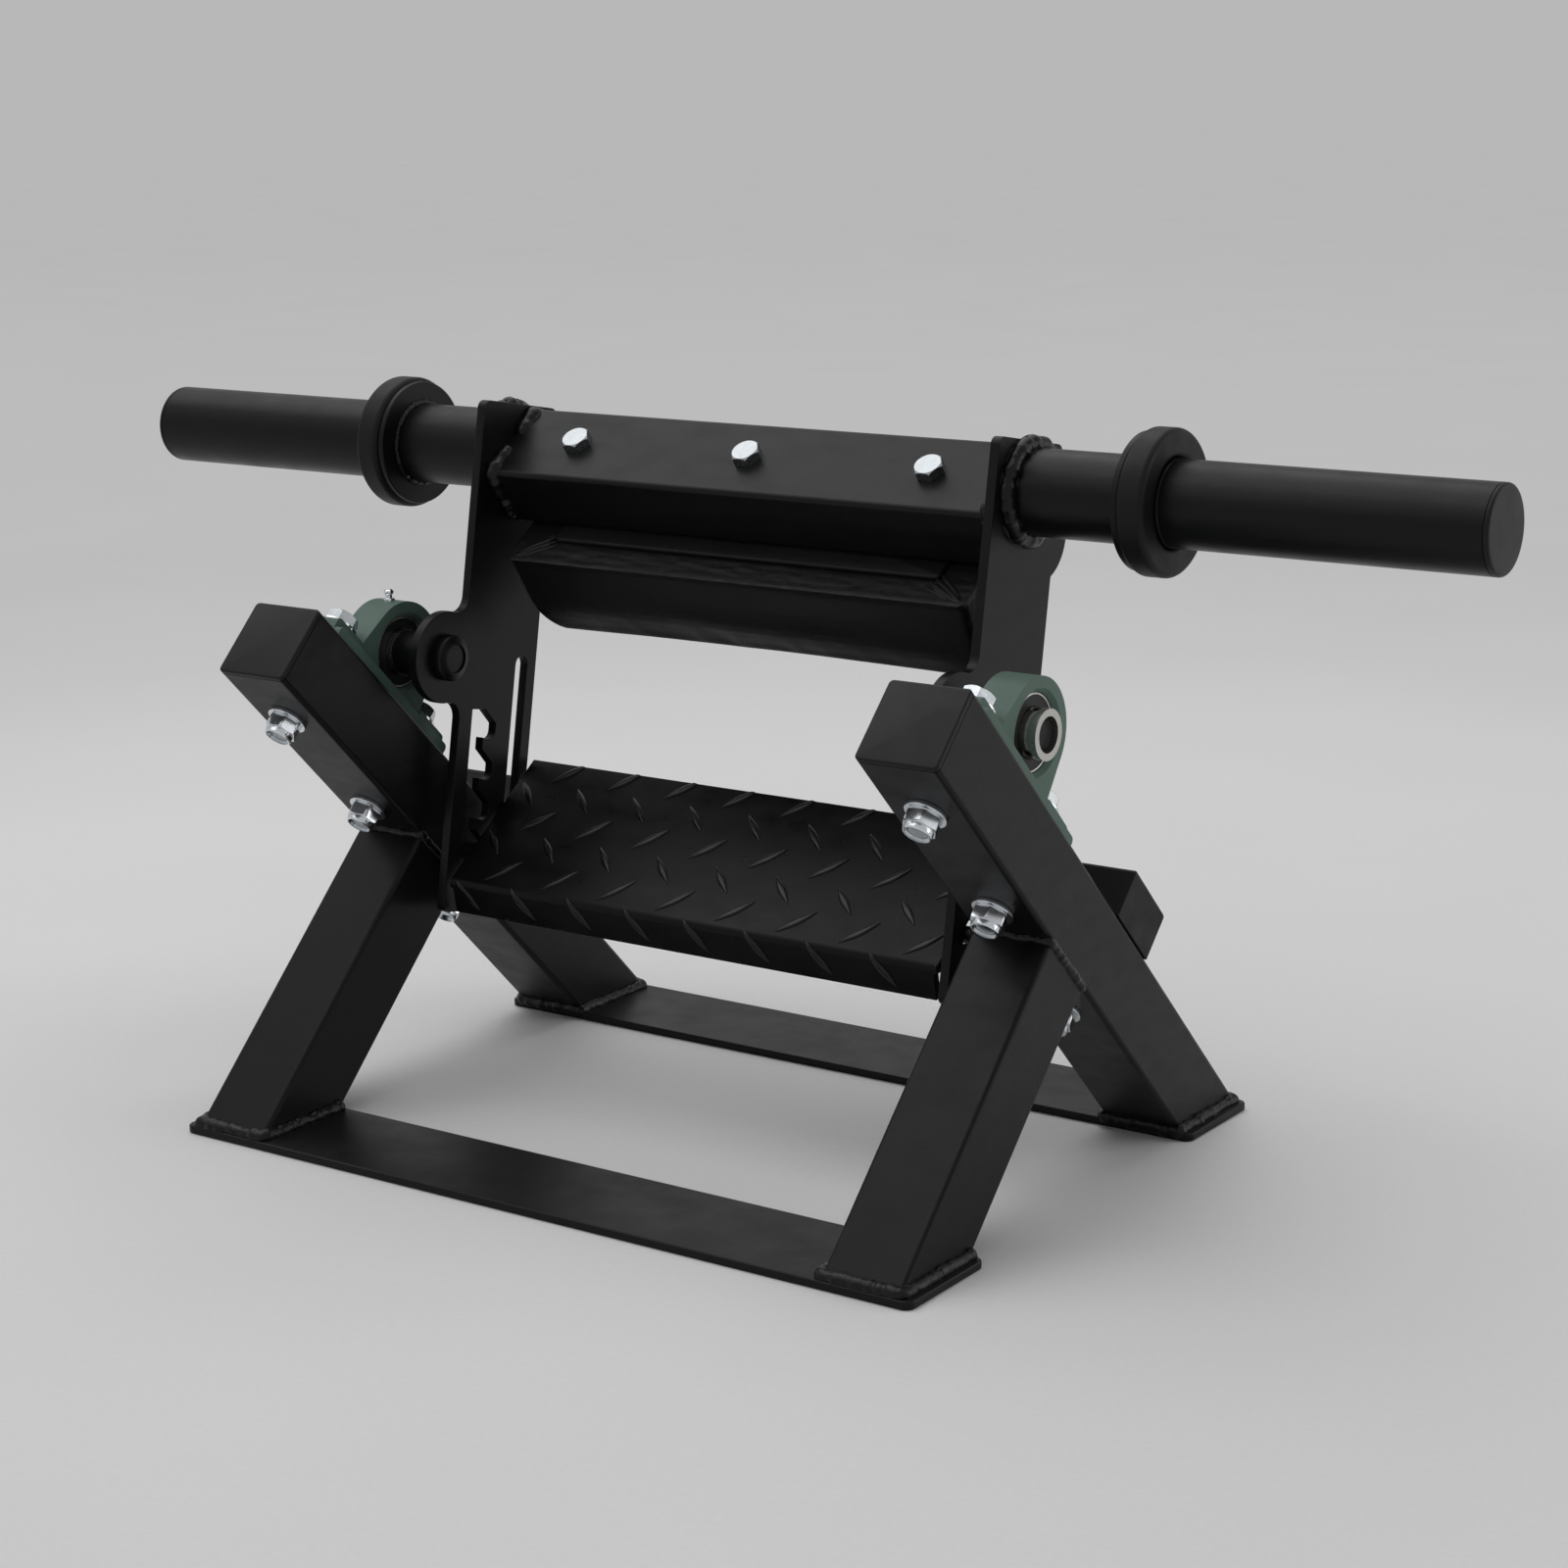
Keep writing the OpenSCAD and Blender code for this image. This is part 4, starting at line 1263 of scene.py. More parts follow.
@dataclass
class Bearings:
    """Pillow blocks with their insert bearings, grease nipples and axles."""

    cast_edge: float = 1.4
    race_edge: float = 0.6
    ring_edge: float = 0.9
    ring_r: float = 31.0
    head_r: float = 14.0
    head_t: float = 6.5
    head_chamfer: float = 1.4
    head_rim: float = 5.0
    head_round: float = 0.3
    groove: float = 0.5
    axle_r: float = 10.0
    axle_end: float = 236.8
    nipple_r: float = 3.3
    nipple_h: float = 3.0
    nipple_sunk: float = 1.0
    nipple_rim: float = 1.4
    nipple_round: float = 0.35
    nipple_seat: float = 0.6
    nipple_steps: tuple[tuple[float, float], ...] = ((2.2, 1.0), (0.9, 1.45), (1.5, 1.0), (0.9, 0.62))

    def build(self) -> None:
        """Make both bearings."""
        nipples = []
        for side in Side:
            node = f"bearing_housing_{side.word}"
            housing = Bench.from_solid(node, f"cast_housing_{side.word}", self.cast_edge, 3)
            dress(housing, Body.BASE, GREEN_CASTING, [node])
            race_node = f"bearing_outer_ring_{side.word}"
            race = Bench.from_solid(race_node, f"turned_race_{side.word}", self.race_edge, 3)
            dress(race, Body.BASE, GROUND_STEEL, [race_node])
            coat(f"bearing_balls_{side.word}", GROUND_STEEL)
            coat(f"bearing_cage_{side.word}", BRASS)
            coat(f"bearing_seals_{side.word}", SEAL_RUBBER)
            ring_node = f"bearing_inner_ring_{side.word}"
            ring = Bench.from_solid(ring_node, f"turned_ring_{side.word}", self.ring_edge, 4)
            dress(ring, Body.SWING, GROUND_STEEL, [ring_node])
            spacer = f"axle_spacer_{side.word}"
            sleeve = Bench.from_solid(spacer, f"turned_spacer_{side.word}", self.race_edge, 3)
            dress(sleeve, Body.SWING, BLACK_COAT, [spacer])
            self.axle(side)
            nipples.append(self.nipple(side))
        dress(Bench.join("grease_fittings", nipples), Body.BASE, ZINC, ["grease_nipples"])

    def axle(self, side: Side) -> None:
        """Stub axle with a chamfered head and a shallow turned ring on its face.

        Args:
            side: the machine's side.
        """
        face = LAYOUT.plate_in - self.head_t
        axle = Bench.drum(f"stub_axle_{side.word}", self.head_r, self.head_t, (0, 0, face + self.head_t / 2))
        Bench.bevel_edges(axle, lambda middle, way: middle.z < face + HAIR, self.head_chamfer)
        Bench.inset(axle, looking(-1), self.head_rim)
        for depth in (-self.groove, self.groove):
            Bench.inset(axle, looking(-1, core=True), self.groove, depth)
        Bench.inset(axle, looking(1), self.head_r - self.axle_r)
        Bench.extrude(axle, looking(1, core=True), (0, 0, self.axle_end - LAYOUT.plate_in))
        Bench.round_edges(axle, self.head_round, 2, 40.0)
        Bench.smooth(axle, 40.0)
        Bench.settle(axle, LAYOUT.axle(side))
        dress(axle, Body.SWING, BLACK_COAT, [f"axle_{side.word}"])

    def nipple(self, side: Side) -> bpy.types.Object:
        """Grease nipple on the housing's ring: the left one stands up, the right one points back.

        Args:
            side: the housing's side.

        Returns:
            The nipple.
        """
        corner = self.nipple_r / math.cos(math.pi / 6)
        top = self.nipple_h - self.nipple_sunk
        nipple = Bench.drum(f"nipple_{side.word}", corner, self.nipple_h, (0, 0, top - self.nipple_h / 2), 6)
        Bench.inset(nipple, looking(1), self.nipple_rim)
        for rise, grow in self.nipple_steps:
            Bench.extrude(nipple, looking(1, core=True), (0, 0, rise))
            top += rise
            Bench.mark(nipple, looking(1, core=True))
            bpy.ops.transform.resize(value=(grow, grow, 1.0), center_override=(0.0, 0.0, top))
            Bench.leave()
        Bench.round_edges(nipple, self.nipple_round, 3, 25.0)
        Bench.smooth(nipple, 50.0)
        turned = LAYOUT.bearing(side) @ LAYOUT.turn(-side.value * LAYOUT.leg_lean)
        return Bench.settle(nipple, turned @ LAYOUT.at(0, 0, self.ring_r - self.nipple_seat))


# Swinging frame


@dataclass
class SwingFrame:
    """Side plates, cross tube, weight sleeves and collars."""

    edge: float = 0.8
    ring_bead: WeldBead = WeldBead(5.8, 3.4)
    tube_bead: WeldBead = WeldBead(6.2, 3.6)
    collar_bead: WeldBead = WeldBead(2.4, 2.6, 0.7)
    root_out: float = 1.5
    root_lift: float = 1.6
    collar_out: float = 0.6
    collar_lift: float = 0.2
    tube_lift: float = 2.0
    tube_sunk: float = 2.2
    tube_cut: float = 3.0
    tube_side_start: float = -8.0
    tube_top_gap: tuple[float, float] = (6.0, -10.0)
    tube_low_inset: float = 4.0
    cap_t: float = 3.5
    cap_gap: float = 0.5
    cap_round: float = 1.8
    rim: float = 0.4
    groove: float = 0.7
    crown_rim: float = 5.0
    crown_step: float = 9.0
    crown_rise: float = 0.1
    plug: float = 16.0
    plug_gap: float = 2.6

    def build(self) -> None:
        """Make the swinging frame's pieces."""
        coat("cross_tube", BLACK_COAT)
        for side in Side:
            node = f"side_plate_{side.word}"
            plate = Bench.from_solid(node, f"cut_plate_{side.word}", self.edge)
            dress(plate, Body.SWING, BLACK_COAT, [node])
            coat(f"weight_sleeve_{side.word}", BLACK_COAT)
            for kind, finish, slot, width in (
                ("collar_disc", BLACK_COAT, "black_powder_coat", self.edge),
                ("collar_ring", BLACK_RUBBER, "black_rubber", 0.0),
            ):
                source = f"{kind}_{side.word}"
                piece = Bench.from_solid(source, f"stop_{kind.removeprefix('collar_')}_{side.word}", width, 3)
                dress(piece, Body.SWING, finish, [source])
            self.sleeve_cap(side)
            self.welds(side)

    def sleeve_cap(self, side: Side) -> None:
        """Slightly domed cap in the end of a weight sleeve, with a groove at the tube's end.

        Args:
            side: the machine's side.
        """
        radius = LAYOUT.sleeve_r
        end = LAYOUT.sleeve_end
        height = self.cap_t - self.cap_gap - self.crown_rise
        middle_z = end + self.cap_gap + height / 2
        cap = Bench.drum(f"sleeve_end_cap_{side.word}", radius, height, (0, 0, middle_z))
        Bench.inset(cap, looking(1), self.crown_rim)
        Bench.inset(cap, looking(1, core=True), self.crown_step, self.crown_rise)
        Bench.bevel_edges(
            cap,
            lambda spot, way: spot.z > middle_z and spot.xy.length > radius - self.rim and level(spot, way),
            self.cap_round,
            5,
        )
        Bench.inset(cap, looking(-1), self.groove)
        Bench.extrude(cap, looking(-1, core=True), (0, 0, -self.cap_gap))
        Bench.inset(cap, looking(-1, core=True), self.plug_gap)
        Bench.extrude(cap, looking(-1, core=True), (0, 0, -self.plug))
        Bench.smooth(cap, 40.0)
        Bench.settle(cap, LAYOUT.sleeve(side))
        dress(cap, Body.SWING, BLACK_PLASTIC, [f"sleeve_cap_{side.word}"])

    def welds(self, side: Side) -> None:
        """Beads at a sleeve's root, at its collar and at the cross tube's end.

        Args:
            side: the machine's side.
        """
        root_path = ring_path(LAYOUT.root_r + self.root_out, LAYOUT.plate_out + self.root_lift)
        collar_path = ring_path(LAYOUT.root_r + self.collar_out, LAYOUT.collar_in - self.collar_lift)
        for name, weld, path, seed in (
            ("sleeve_root_weld", self.ring_bead, root_path, 51),
            ("collar_weld", self.collar_bead, collar_path, 61),
        ):
            ring = weld.lay(
                f"{name}_{side.word}", path, LAYOUT.sleeve(side), seed + side.value, closed=True
            )
            dress(ring, Body.SWING, WELD_COAT)
        x = side.value * (LAYOUT.plate_in - self.tube_lift)
        half_w, half_h = LAYOUT.tube_w / 2 - self.tube_sunk, LAYOUT.tube_h / 2 - self.tube_sunk
        cut, low = self.tube_cut, self.tube_low_inset
        first = self.tube_side_start
        stop, start = self.tube_top_gap
        runs = [
            [(half_w, first), (half_w, half_h - cut), (half_w - cut, half_h), (stop, half_h)],
            [(start, half_h), (-half_w + cut, half_h), (-half_w, half_h - cut), (-half_w, -half_h + cut)],
            [(-half_w + low, -half_h), (half_w - low, -half_h)],
        ]
        beads = []
        for number, run in enumerate(runs):
            path = [Vector((x, y, z)) for y, z in run]
            seed = 71 + 3 * number + side.value
            beads.append(self.tube_bead.lay(f"tube_weld_{number}", path, LAYOUT.tube(), seed))
        dress(Bench.join(f"cross_tube_weld_{side.word}", beads), Body.SWING, WELD_COAT)


# Pad


@dataclass
class Pad:
    """Vinyl pad on its wrapped board under the cross tube."""

    length: float = 324.0
    depth: float = 121.0
    thick: float = 54.0
    top: float = -22.0
    corner: float = 4.0
    draw: float = 3.0
    bulge: float = 2.4
    edge: float = 7.0
    end_edge: float = 32.0
    swell: float = 2.5
    spare: float = 1.0
    board_l: float = 274.0
    board_d: float = 84.0
    board_t: float = 12.0
    board_top: float = -20.0
    board_corner: float = 3.0
    board_edge: float = 1.3
    wrap: float = 0.2
    gap: float = 0.3
    cell: float = 7.0
    layer: float = 6.0
    frames: int = 20
    cap: float = 4.0
    skirt: float = 20.0
    stapled_top: float = 0.6
    stapled_floor: float = 0.7
    slack: float = 0.5
    slack_from: float = 4.0
    slack_waves: Place = (0.012, 0.03, 0.05)
    ripples: tuple[tuple[float, float, float, float], ...] = (
        (0.35, 0.05, 0.35, 3.0),
        (0.3, 0.12, 0.9, 9.0),
    )
    ripple_reach: float = 1.5
    seam: float = 0.9
    seam_lift: float = 0.5
    seam_drop: float = 0.4
    seam_w: float = 1.3
    seam_reach: float = 2.6
    seam_share: float = 0.93
    seam_side: float = 4.0
    fold_start: Place = (3.0, 1.0, 0.2)
    fold_tip: Place = (1.2, 1.2, 0.4)
    fold_fan: tuple[float, float] = (1.25, 0.5)
    fold_short: float = 0.035
    fold_girth: tuple[float, float] = (1.0, 1.35)
    fold_w: float = 1.5
    fold_h: float = 1.15
    fold_spreads: tuple[tuple[float, float], ...] = ((0.0, 0.0), (0.3, 3.2), (-0.2, -3.4), (-0.5, 6.4))

    @property
    def pocket(self) -> tuple[float, float]:
        """Half sizes of the board's pocket in the cushion."""
        return self.board_l / 2 + self.gap, self.board_d / 2 + self.gap

    @property
    def pocket_z(self) -> float:
        """Height of the pocket's floor."""
        return self.board_top - self.board_t - self.gap

    def build(self) -> None:
        """Make the pad's pieces."""
        self.board()
        self.cushion()
        self.gathers()

    def board(self) -> None:
        """Board wrapped in vinyl."""
        board = Bench.block(
            "wrapped_board",
            (self.board_l - 2 * self.wrap, self.board_d - 2 * self.wrap, self.board_t - self.wrap),
            (0, 0, self.board_top - self.board_t / 2),
        )
        Bench.bevel_edges(board, upright, self.board_corner, 4)
        Bench.bevel_edges(board, level, self.board_edge)
        Bench.smooth(board, 50.0)
        Bench.settle(board, LAYOUT.tube())
        dress(board, Body.SWING, BLACK_VINYL, ["pad_board"])

    def form(self) -> bpy.types.Object:
        """The cushion before it is stuffed, in millimetres in the tube's frame.

        Returns:
            A gridded closed shell with the board's pocket in its top.
        """
        size = (self.length, self.depth, self.thick)
        cover = Bench.block("vinyl_cushion", size, (0, 0, self.top - self.thick / 2))
        Bench.bevel_edges(cover, upright, self.corner, 2)
        pocket_x, pocket_y = self.pocket
        for x in self.stations(self.length / 2, pocket_x):
            Bench.slice(cover, (x, 0, 0), (1, 0, 0))
        for y in self.stations(self.depth / 2, pocket_y):
            Bench.slice(cover, (0, y, 0), (0, 1, 0))
        for number in range(1, int(self.thick / self.layer)):
            Bench.slice(cover, (0, 0, self.top - self.layer * number), (0, 0, 1))
        Bench.extrude(
            cover,
            lambda spot, normal: normal.z > SQUARE and abs(spot.x) < pocket_x and abs(spot.y) < pocket_y,
            (0, 0, self.pocket_z - self.top),
        )
        for vertex in cover.data.vertices:
            x, y, z = vertex.co
            share = min(1.0, max(0.0, (self.top - z) / (self.thick - self.edge)))
            beside = abs(x) > pocket_x + 1 or abs(y) > pocket_y + 1
            if beside or z < self.top - self.thick + self.skirt:
                vertex.co.x *= 1 - self.draw * share / (self.length / 2)
                vertex.co.y *= 1 + self.bulge * math.sin(share * math.pi / 2) / (self.depth / 2)
        return cover

    def stations(self, half: float, pocket: float) -> list[float]:
        """Grid lines across the cushion, with one at each pocket wall.

        Args:
            half: the cushion's half size.
            pocket: the pocket's half size.

        Returns:
            The lines' places.
        """
        count = round(pocket / self.cell)
        inner = [pocket * i / count for i in range(-count, count + 1)]
        step = (half - pocket) / 3
        return [-pocket - 2 * step, -pocket - step] + inner + [pocket + step, pocket + 2 * step]

    def stuff(self, cover: bpy.types.Object) -> None:
        """Blow the cover up as cloth, held where it is stapled to the board.

        Args:
            cover: the cover in metres, in the tube's frame.
        """
        floor_x, floor_y = (half + self.stapled_floor for half in self.pocket)
        held = cover.vertex_groups.new(name="stapled")
        for vertex in cover.data.vertices:
            x, y, z = vertex.co / MM
            floor = abs(z - self.pocket_z) < HAIR and abs(x) < floor_x and abs(y) < floor_y
            if z > self.top - self.stapled_top or floor:
                held.add([vertex.index], 1.0, "REPLACE")
        before = [v.co.copy() for v in cover.data.vertices]
        Bench.pick(cover)
        cloth = cover.modifiers.new("Cloth", "CLOTH")
        cloth.settings.quality = 6
        cloth.settings.use_pressure = True
        cloth.settings.uniform_pressure_force = 4.0
        cloth.settings.vertex_group_mass = "stapled"
        cloth.settings.tension_stiffness = 60
        cloth.settings.compression_stiffness = 60
        cloth.settings.bending_stiffness = 8
        cloth.settings.effector_weights.gravity = 0.0
        cloth.point_cache.frame_end = self.frames
        for number in range(1, self.frames + 1):
            bpy.context.scene.frame_set(number)
        bpy.ops.object.modifier_apply(modifier=cloth.name)
        bpy.context.scene.frame_set(1)
        for vertex, old in zip(cover.data.vertices, before):
            move = vertex.co - old
            if move.length > self.cap * MM:
                vertex.co = old + move.normalized() * self.cap * MM
        cover.vertex_groups.clear()

    def cushion(self) -> None:
        """The stuffed cushion with its crisp seam, slack and creases."""
        cover = Bench.settle(self.form(), LAYOUT.metres)
        self.stuff(cover)
        Bench.modify(cover, "SUBSURF", levels=2, render_levels=2, subdivision_type="SIMPLE")
        Bench.modify(cover, "SMOOTH", factor=0.5, iterations=3)
        Bench.settle(cover, Matrix.Scale(1 / MM, 4))
        moves = [self.crease(v.co.copy(), v.normal.copy()) for v in cover.data.vertices]
        for vertex, move in zip(cover.data.vertices, moves):
            vertex.co = self.rounded(vertex.co + move)
        Bench.smooth(cover, 50.0)
        Bench.settle(cover, LAYOUT.tube())
        dress(cover, Body.SWING, BLACK_VINYL, ["pad_cushion"])

    def rounded(self, point: Vector) -> Vector:
        """Bring a point of the cover back to its rounded lower edges.

        Args:
            point: the point in millimetres, in the tube's frame.

        Returns:
            The point on or inside the rounding.
        """
        low = self.top - self.thick - self.swell
        for axis, half, radius in (
            (0, self.length / 2 - self.draw + self.spare, self.end_edge),
            (1, self.depth / 2 + self.bulge + self.spare, self.edge),
        ):
            out = abs(point[axis]) - half + radius
            down = low + radius - point.z
            reach = math.hypot(out, down)
            if out > 0 and down > 0 and reach > radius:
                share = radius / reach
                point[axis] = math.copysign(half - radius + out * share, point[axis])
                point.z = low + radius - down * share
        return point

    def crease(self, point: Vector, normal: Vector) -> Vector:
        """How far a point of the cover moves for the seam and the creases.

        Args:
            point: the point in millimetres, in the tube's frame.
            normal: the cover's normal there.

        Returns:
            The move in millimetres.
        """
        x, y, z = point
        drop = self.top - z
        wave_x, wave_y, wave_z = self.slack_waves
        slack = noise.noise(Vector((x * wave_x, y * wave_y, z * wave_z))) * self.slack
        move = normal * slack if drop > self.slack_from else Vector((0, 0, 0))
        if drop < self.ripple_reach and normal.z > 0.5:
            lift = sum(
                rise * noise.noise(Vector((x * across, y * along, start)))
                for rise, across, along, start in self.ripples
            )
            move += Vector((0, 0, lift))
        half_l, half_d = self.length / 2, self.depth / 2
        if drop < self.seam_reach and max(abs(x) / half_l, abs(y) / half_d) > self.seam_share:
            near = math.exp(-(((drop - self.seam_drop) / self.seam_w) ** 2))
            side_x, side_y = half_l - self.seam_side, half_d - self.seam_side
            away = Vector((x if abs(x) > side_x else 0, y if abs(y) > side_y else 0, 0))
            if away.length > 0:
                move += (away.normalized() * self.seam + Vector((0, 0, self.seam_lift))) * near
        return move

    def gathers(self) -> None:
        """Bunched vinyl between the board's corners and the cushion's corners."""
        dice = random.Random(5)
        in_x, in_y, rise = self.fold_start
        root_x, root_y = self.board_l / 2 - in_x, self.board_d / 2 - in_y
        back_x, back_y, dip = self.fold_tip
        tip_x, tip_y = self.length / 2 - back_x, self.depth / 2 - back_y
        fan_in, fan_out = self.fold_fan
        folds = []
        bpy.ops.object.select_all(action="DESELECT")
        bpy.ops.mesh.primitive_uv_sphere_add(segments=20, ring_count=12, radius=1.0)
        fold = Bench.named("fold_model")
        for sx in (-1, 1):
            for sy in (-1, 1):
                start = Vector((sx * root_x, sy * root_y, self.top + rise))
                tip = Vector((sx * tip_x, sy * tip_y, self.top - dip))
                across = (tip - start).normalized().cross(Vector((0, 0, 1)))
                for lift, spread in self.fold_spreads:
                    inner = start + across * spread * fan_in
                    outer = tip.lerp(start, abs(spread) * self.fold_short) + across * spread * fan_out
                    way = outer - inner
                    lean = way.to_track_quat("X", "Z").to_matrix().to_4x4()
                    girth = dice.uniform(*self.fold_girth)
                    shape = Matrix.Diagonal((way.length / 2, self.fold_w * girth, self.fold_h * girth, 1.0))
                    middle = (inner + outer) / 2 + Vector((0, 0, lift))
                    folds.append(Bench.copy(fold, Matrix.Translation(middle) @ lean @ shape))
        Bench.discard(fold)
        bunch = Bench.join("vinyl_gathers", folds)
        Bench.modify(bunch, "REMESH", mode="VOXEL", voxel_size=0.5, adaptivity=0.0)
        Bench.modify(bunch, "SMOOTH", factor=0.6, iterations=4)
        Bench.smooth(bunch, 180.0)
        Bench.settle(bunch, LAYOUT.tube())
        dress(bunch, Body.SWING, BLACK_VINYL)


# Footplate


@dataclass
class Footplate:
    """Chequered tread plate on its two rods."""

    plate_edge: float = 0.6
    rod_edge: float = 0.7
    under: float = 5.05
    thick: float = 5.0
    front: float = 30.0
    rear: float = 34.0
    half: float = 175.0
    lip: float = 17.5
    lip_turn: float = 65.0
    lozenge_l: float = 27.0
    lozenge_w: float = 5.2
    lozenge_h: float = 1.25
    lozenge_root: float = 0.15
    lozenge_turn: float = 45.0
    lozenge_point: float = 1.6
    lozenge_belly: float = 0.8
    lozenge_tip: float = 0.25
    bare_rim: float = 0.6
    pitch_x: float = 43.0
    pitch_s: float = 41.5
    first_x: float = -141.0
    first_s: float = 11.0
    rows: range = range(-2, 3)
    columns: range = range(-2, 9)
    rod_bead: WeldBead = WeldBead(2.6, 2.0, 0.7)
    rod_bead_xs: tuple[float, ...] = (-150.0, -12.0, 126.0)
    rod_bead_step: float = 6.0
    rod_bead_steps: int = 5
    rod_bead_y: float = 4.6
    rod_bead_z: float = 3.4

    def build(self) -> None:
        """Make the footplate's pieces."""
        plate = Bench.from_solid("tread_plate", "bent_tread", self.plate_edge)
        dress(plate, Body.FOOTPLATE, TREAD_COAT, ["tread_plate"])
        for rod in ("front_rod", "rear_rod"):
            piece = Bench.from_solid(rod, f"turned_{rod}", self.rod_edge, 3)
            dress(piece, Body.FOOTPLATE, BLACK_COAT, [rod])
        self.lozenges()
        self.rod_welds()

    def bend(self, x: float, s: float, h: float) -> Vector:
        """Map a point of the flat plate onto the bent one.

        Args:
            x: across the machine.
            s: along the plate from the bend's upper end to the rear.
            h: height over the plate's face.

        Returns:
            The point in the tread's frame.
        """
        inner = Vector((x, -self.front, self.under))
        turn = math.radians(self.lip_turn)
        arc = self.thick * turn
        radius = self.thick + h
        if s >= 0:
            return inner + Vector((0, s, radius))
        if s > -arc:
            a = math.pi / 2 - s / self.thick
            return inner + Vector((0, radius * math.cos(a), radius * math.sin(a)))
        a = math.pi / 2 + turn
        out = Vector((0, math.cos(a), math.sin(a)))
        down = Vector((0, -math.sin(a), math.cos(a)))
        return inner + out * radius + down * (-s - arc)

    def lozenges(self) -> None:
        """Raised lozenges in two crossing directions, bent round with the plate."""
        bpy.ops.object.select_all(action="DESELECT")
        bpy.ops.mesh.primitive_uv_sphere_add(segments=20, ring_count=12, radius=1.0)
        lozenge = Bench.named("lozenge_model")
        for vertex in lozenge.data.vertices:
            taper = max(0.0, 1 - abs(vertex.co.x) ** self.lozenge_point)
            girth = self.lozenge_tip + (1 - self.lozenge_tip) * taper
            vertex.co.y = math.copysign(abs(vertex.co.y) ** self.lozenge_belly, vertex.co.y) * girth
        Bench.settle(lozenge, Matrix.Diagonal((self.lozenge_l / 2, self.lozenge_w / 2, self.lozenge_h, 1.0)))
        Bench.slice(lozenge, (0, 0, -self.lozenge_root), (0, 0, -1), keep_below=True)
        length = self.front + LAYOUT.rod_span + self.rear
        low = -self.thick * math.radians(self.lip_turn) - self.lip
        copies = []
        for shift, turn in ((0.0, self.lozenge_turn), (0.5, -self.lozenge_turn)):
            for row in self.rows:
                s = self.first_s + (row + shift) * self.pitch_s
                for column in self.columns:
                    x = self.first_x + (column + shift) * self.pitch_x
                    place = Matrix.Translation((x, s, 0)) @ LAYOUT.turn(turn, "Z")
                    copies.append(Bench.copy(lozenge, place))
        Bench.discard(lozenge)
        pattern = Bench.join("tread_lozenges", copies)
        side = self.half - self.bare_rim
        for point, normal in (
            ((side, 0, 0), (1, 0, 0)),
            ((-side, 0, 0), (-1, 0, 0)),
            ((0, length - self.bare_rim, 0), (0, 1, 0)),
            ((0, low + self.bare_rim, 0), (0, -1, 0)),
        ):
            Bench.slice(pattern, point, normal, keep_below=True)
        for vertex in pattern.data.vertices:
            vertex.co = self.bend(*vertex.co)
        Bench.smooth(pattern, 60.0)
        Bench.settle(pattern, LAYOUT.tread())
        dress(pattern, Body.FOOTPLATE, LOZENGE_COAT)

    def rod_welds(self) -> None:
        """Short beads that hold the rods under the tread."""
        beads = []
        for rod, y in enumerate((0.0, LAYOUT.rod_span)):
            for place, x in enumerate(self.rod_bead_xs):
                for flank in (-1, 1):
                    row = (y + flank * self.rod_bead_y, self.rod_bead_z)
                    path = [Vector((x + i * self.rod_bead_step, *row)) for i in range(self.rod_bead_steps)]
                    seed = 90 + 7 * rod + 2 * place + flank
                    beads.append(self.rod_bead.lay("rod_bead", path, LAYOUT.tread(), seed))
        dress(Bench.join("rod_welds", beads), Body.FOOTPLATE, WELD_COAT)


# Studio


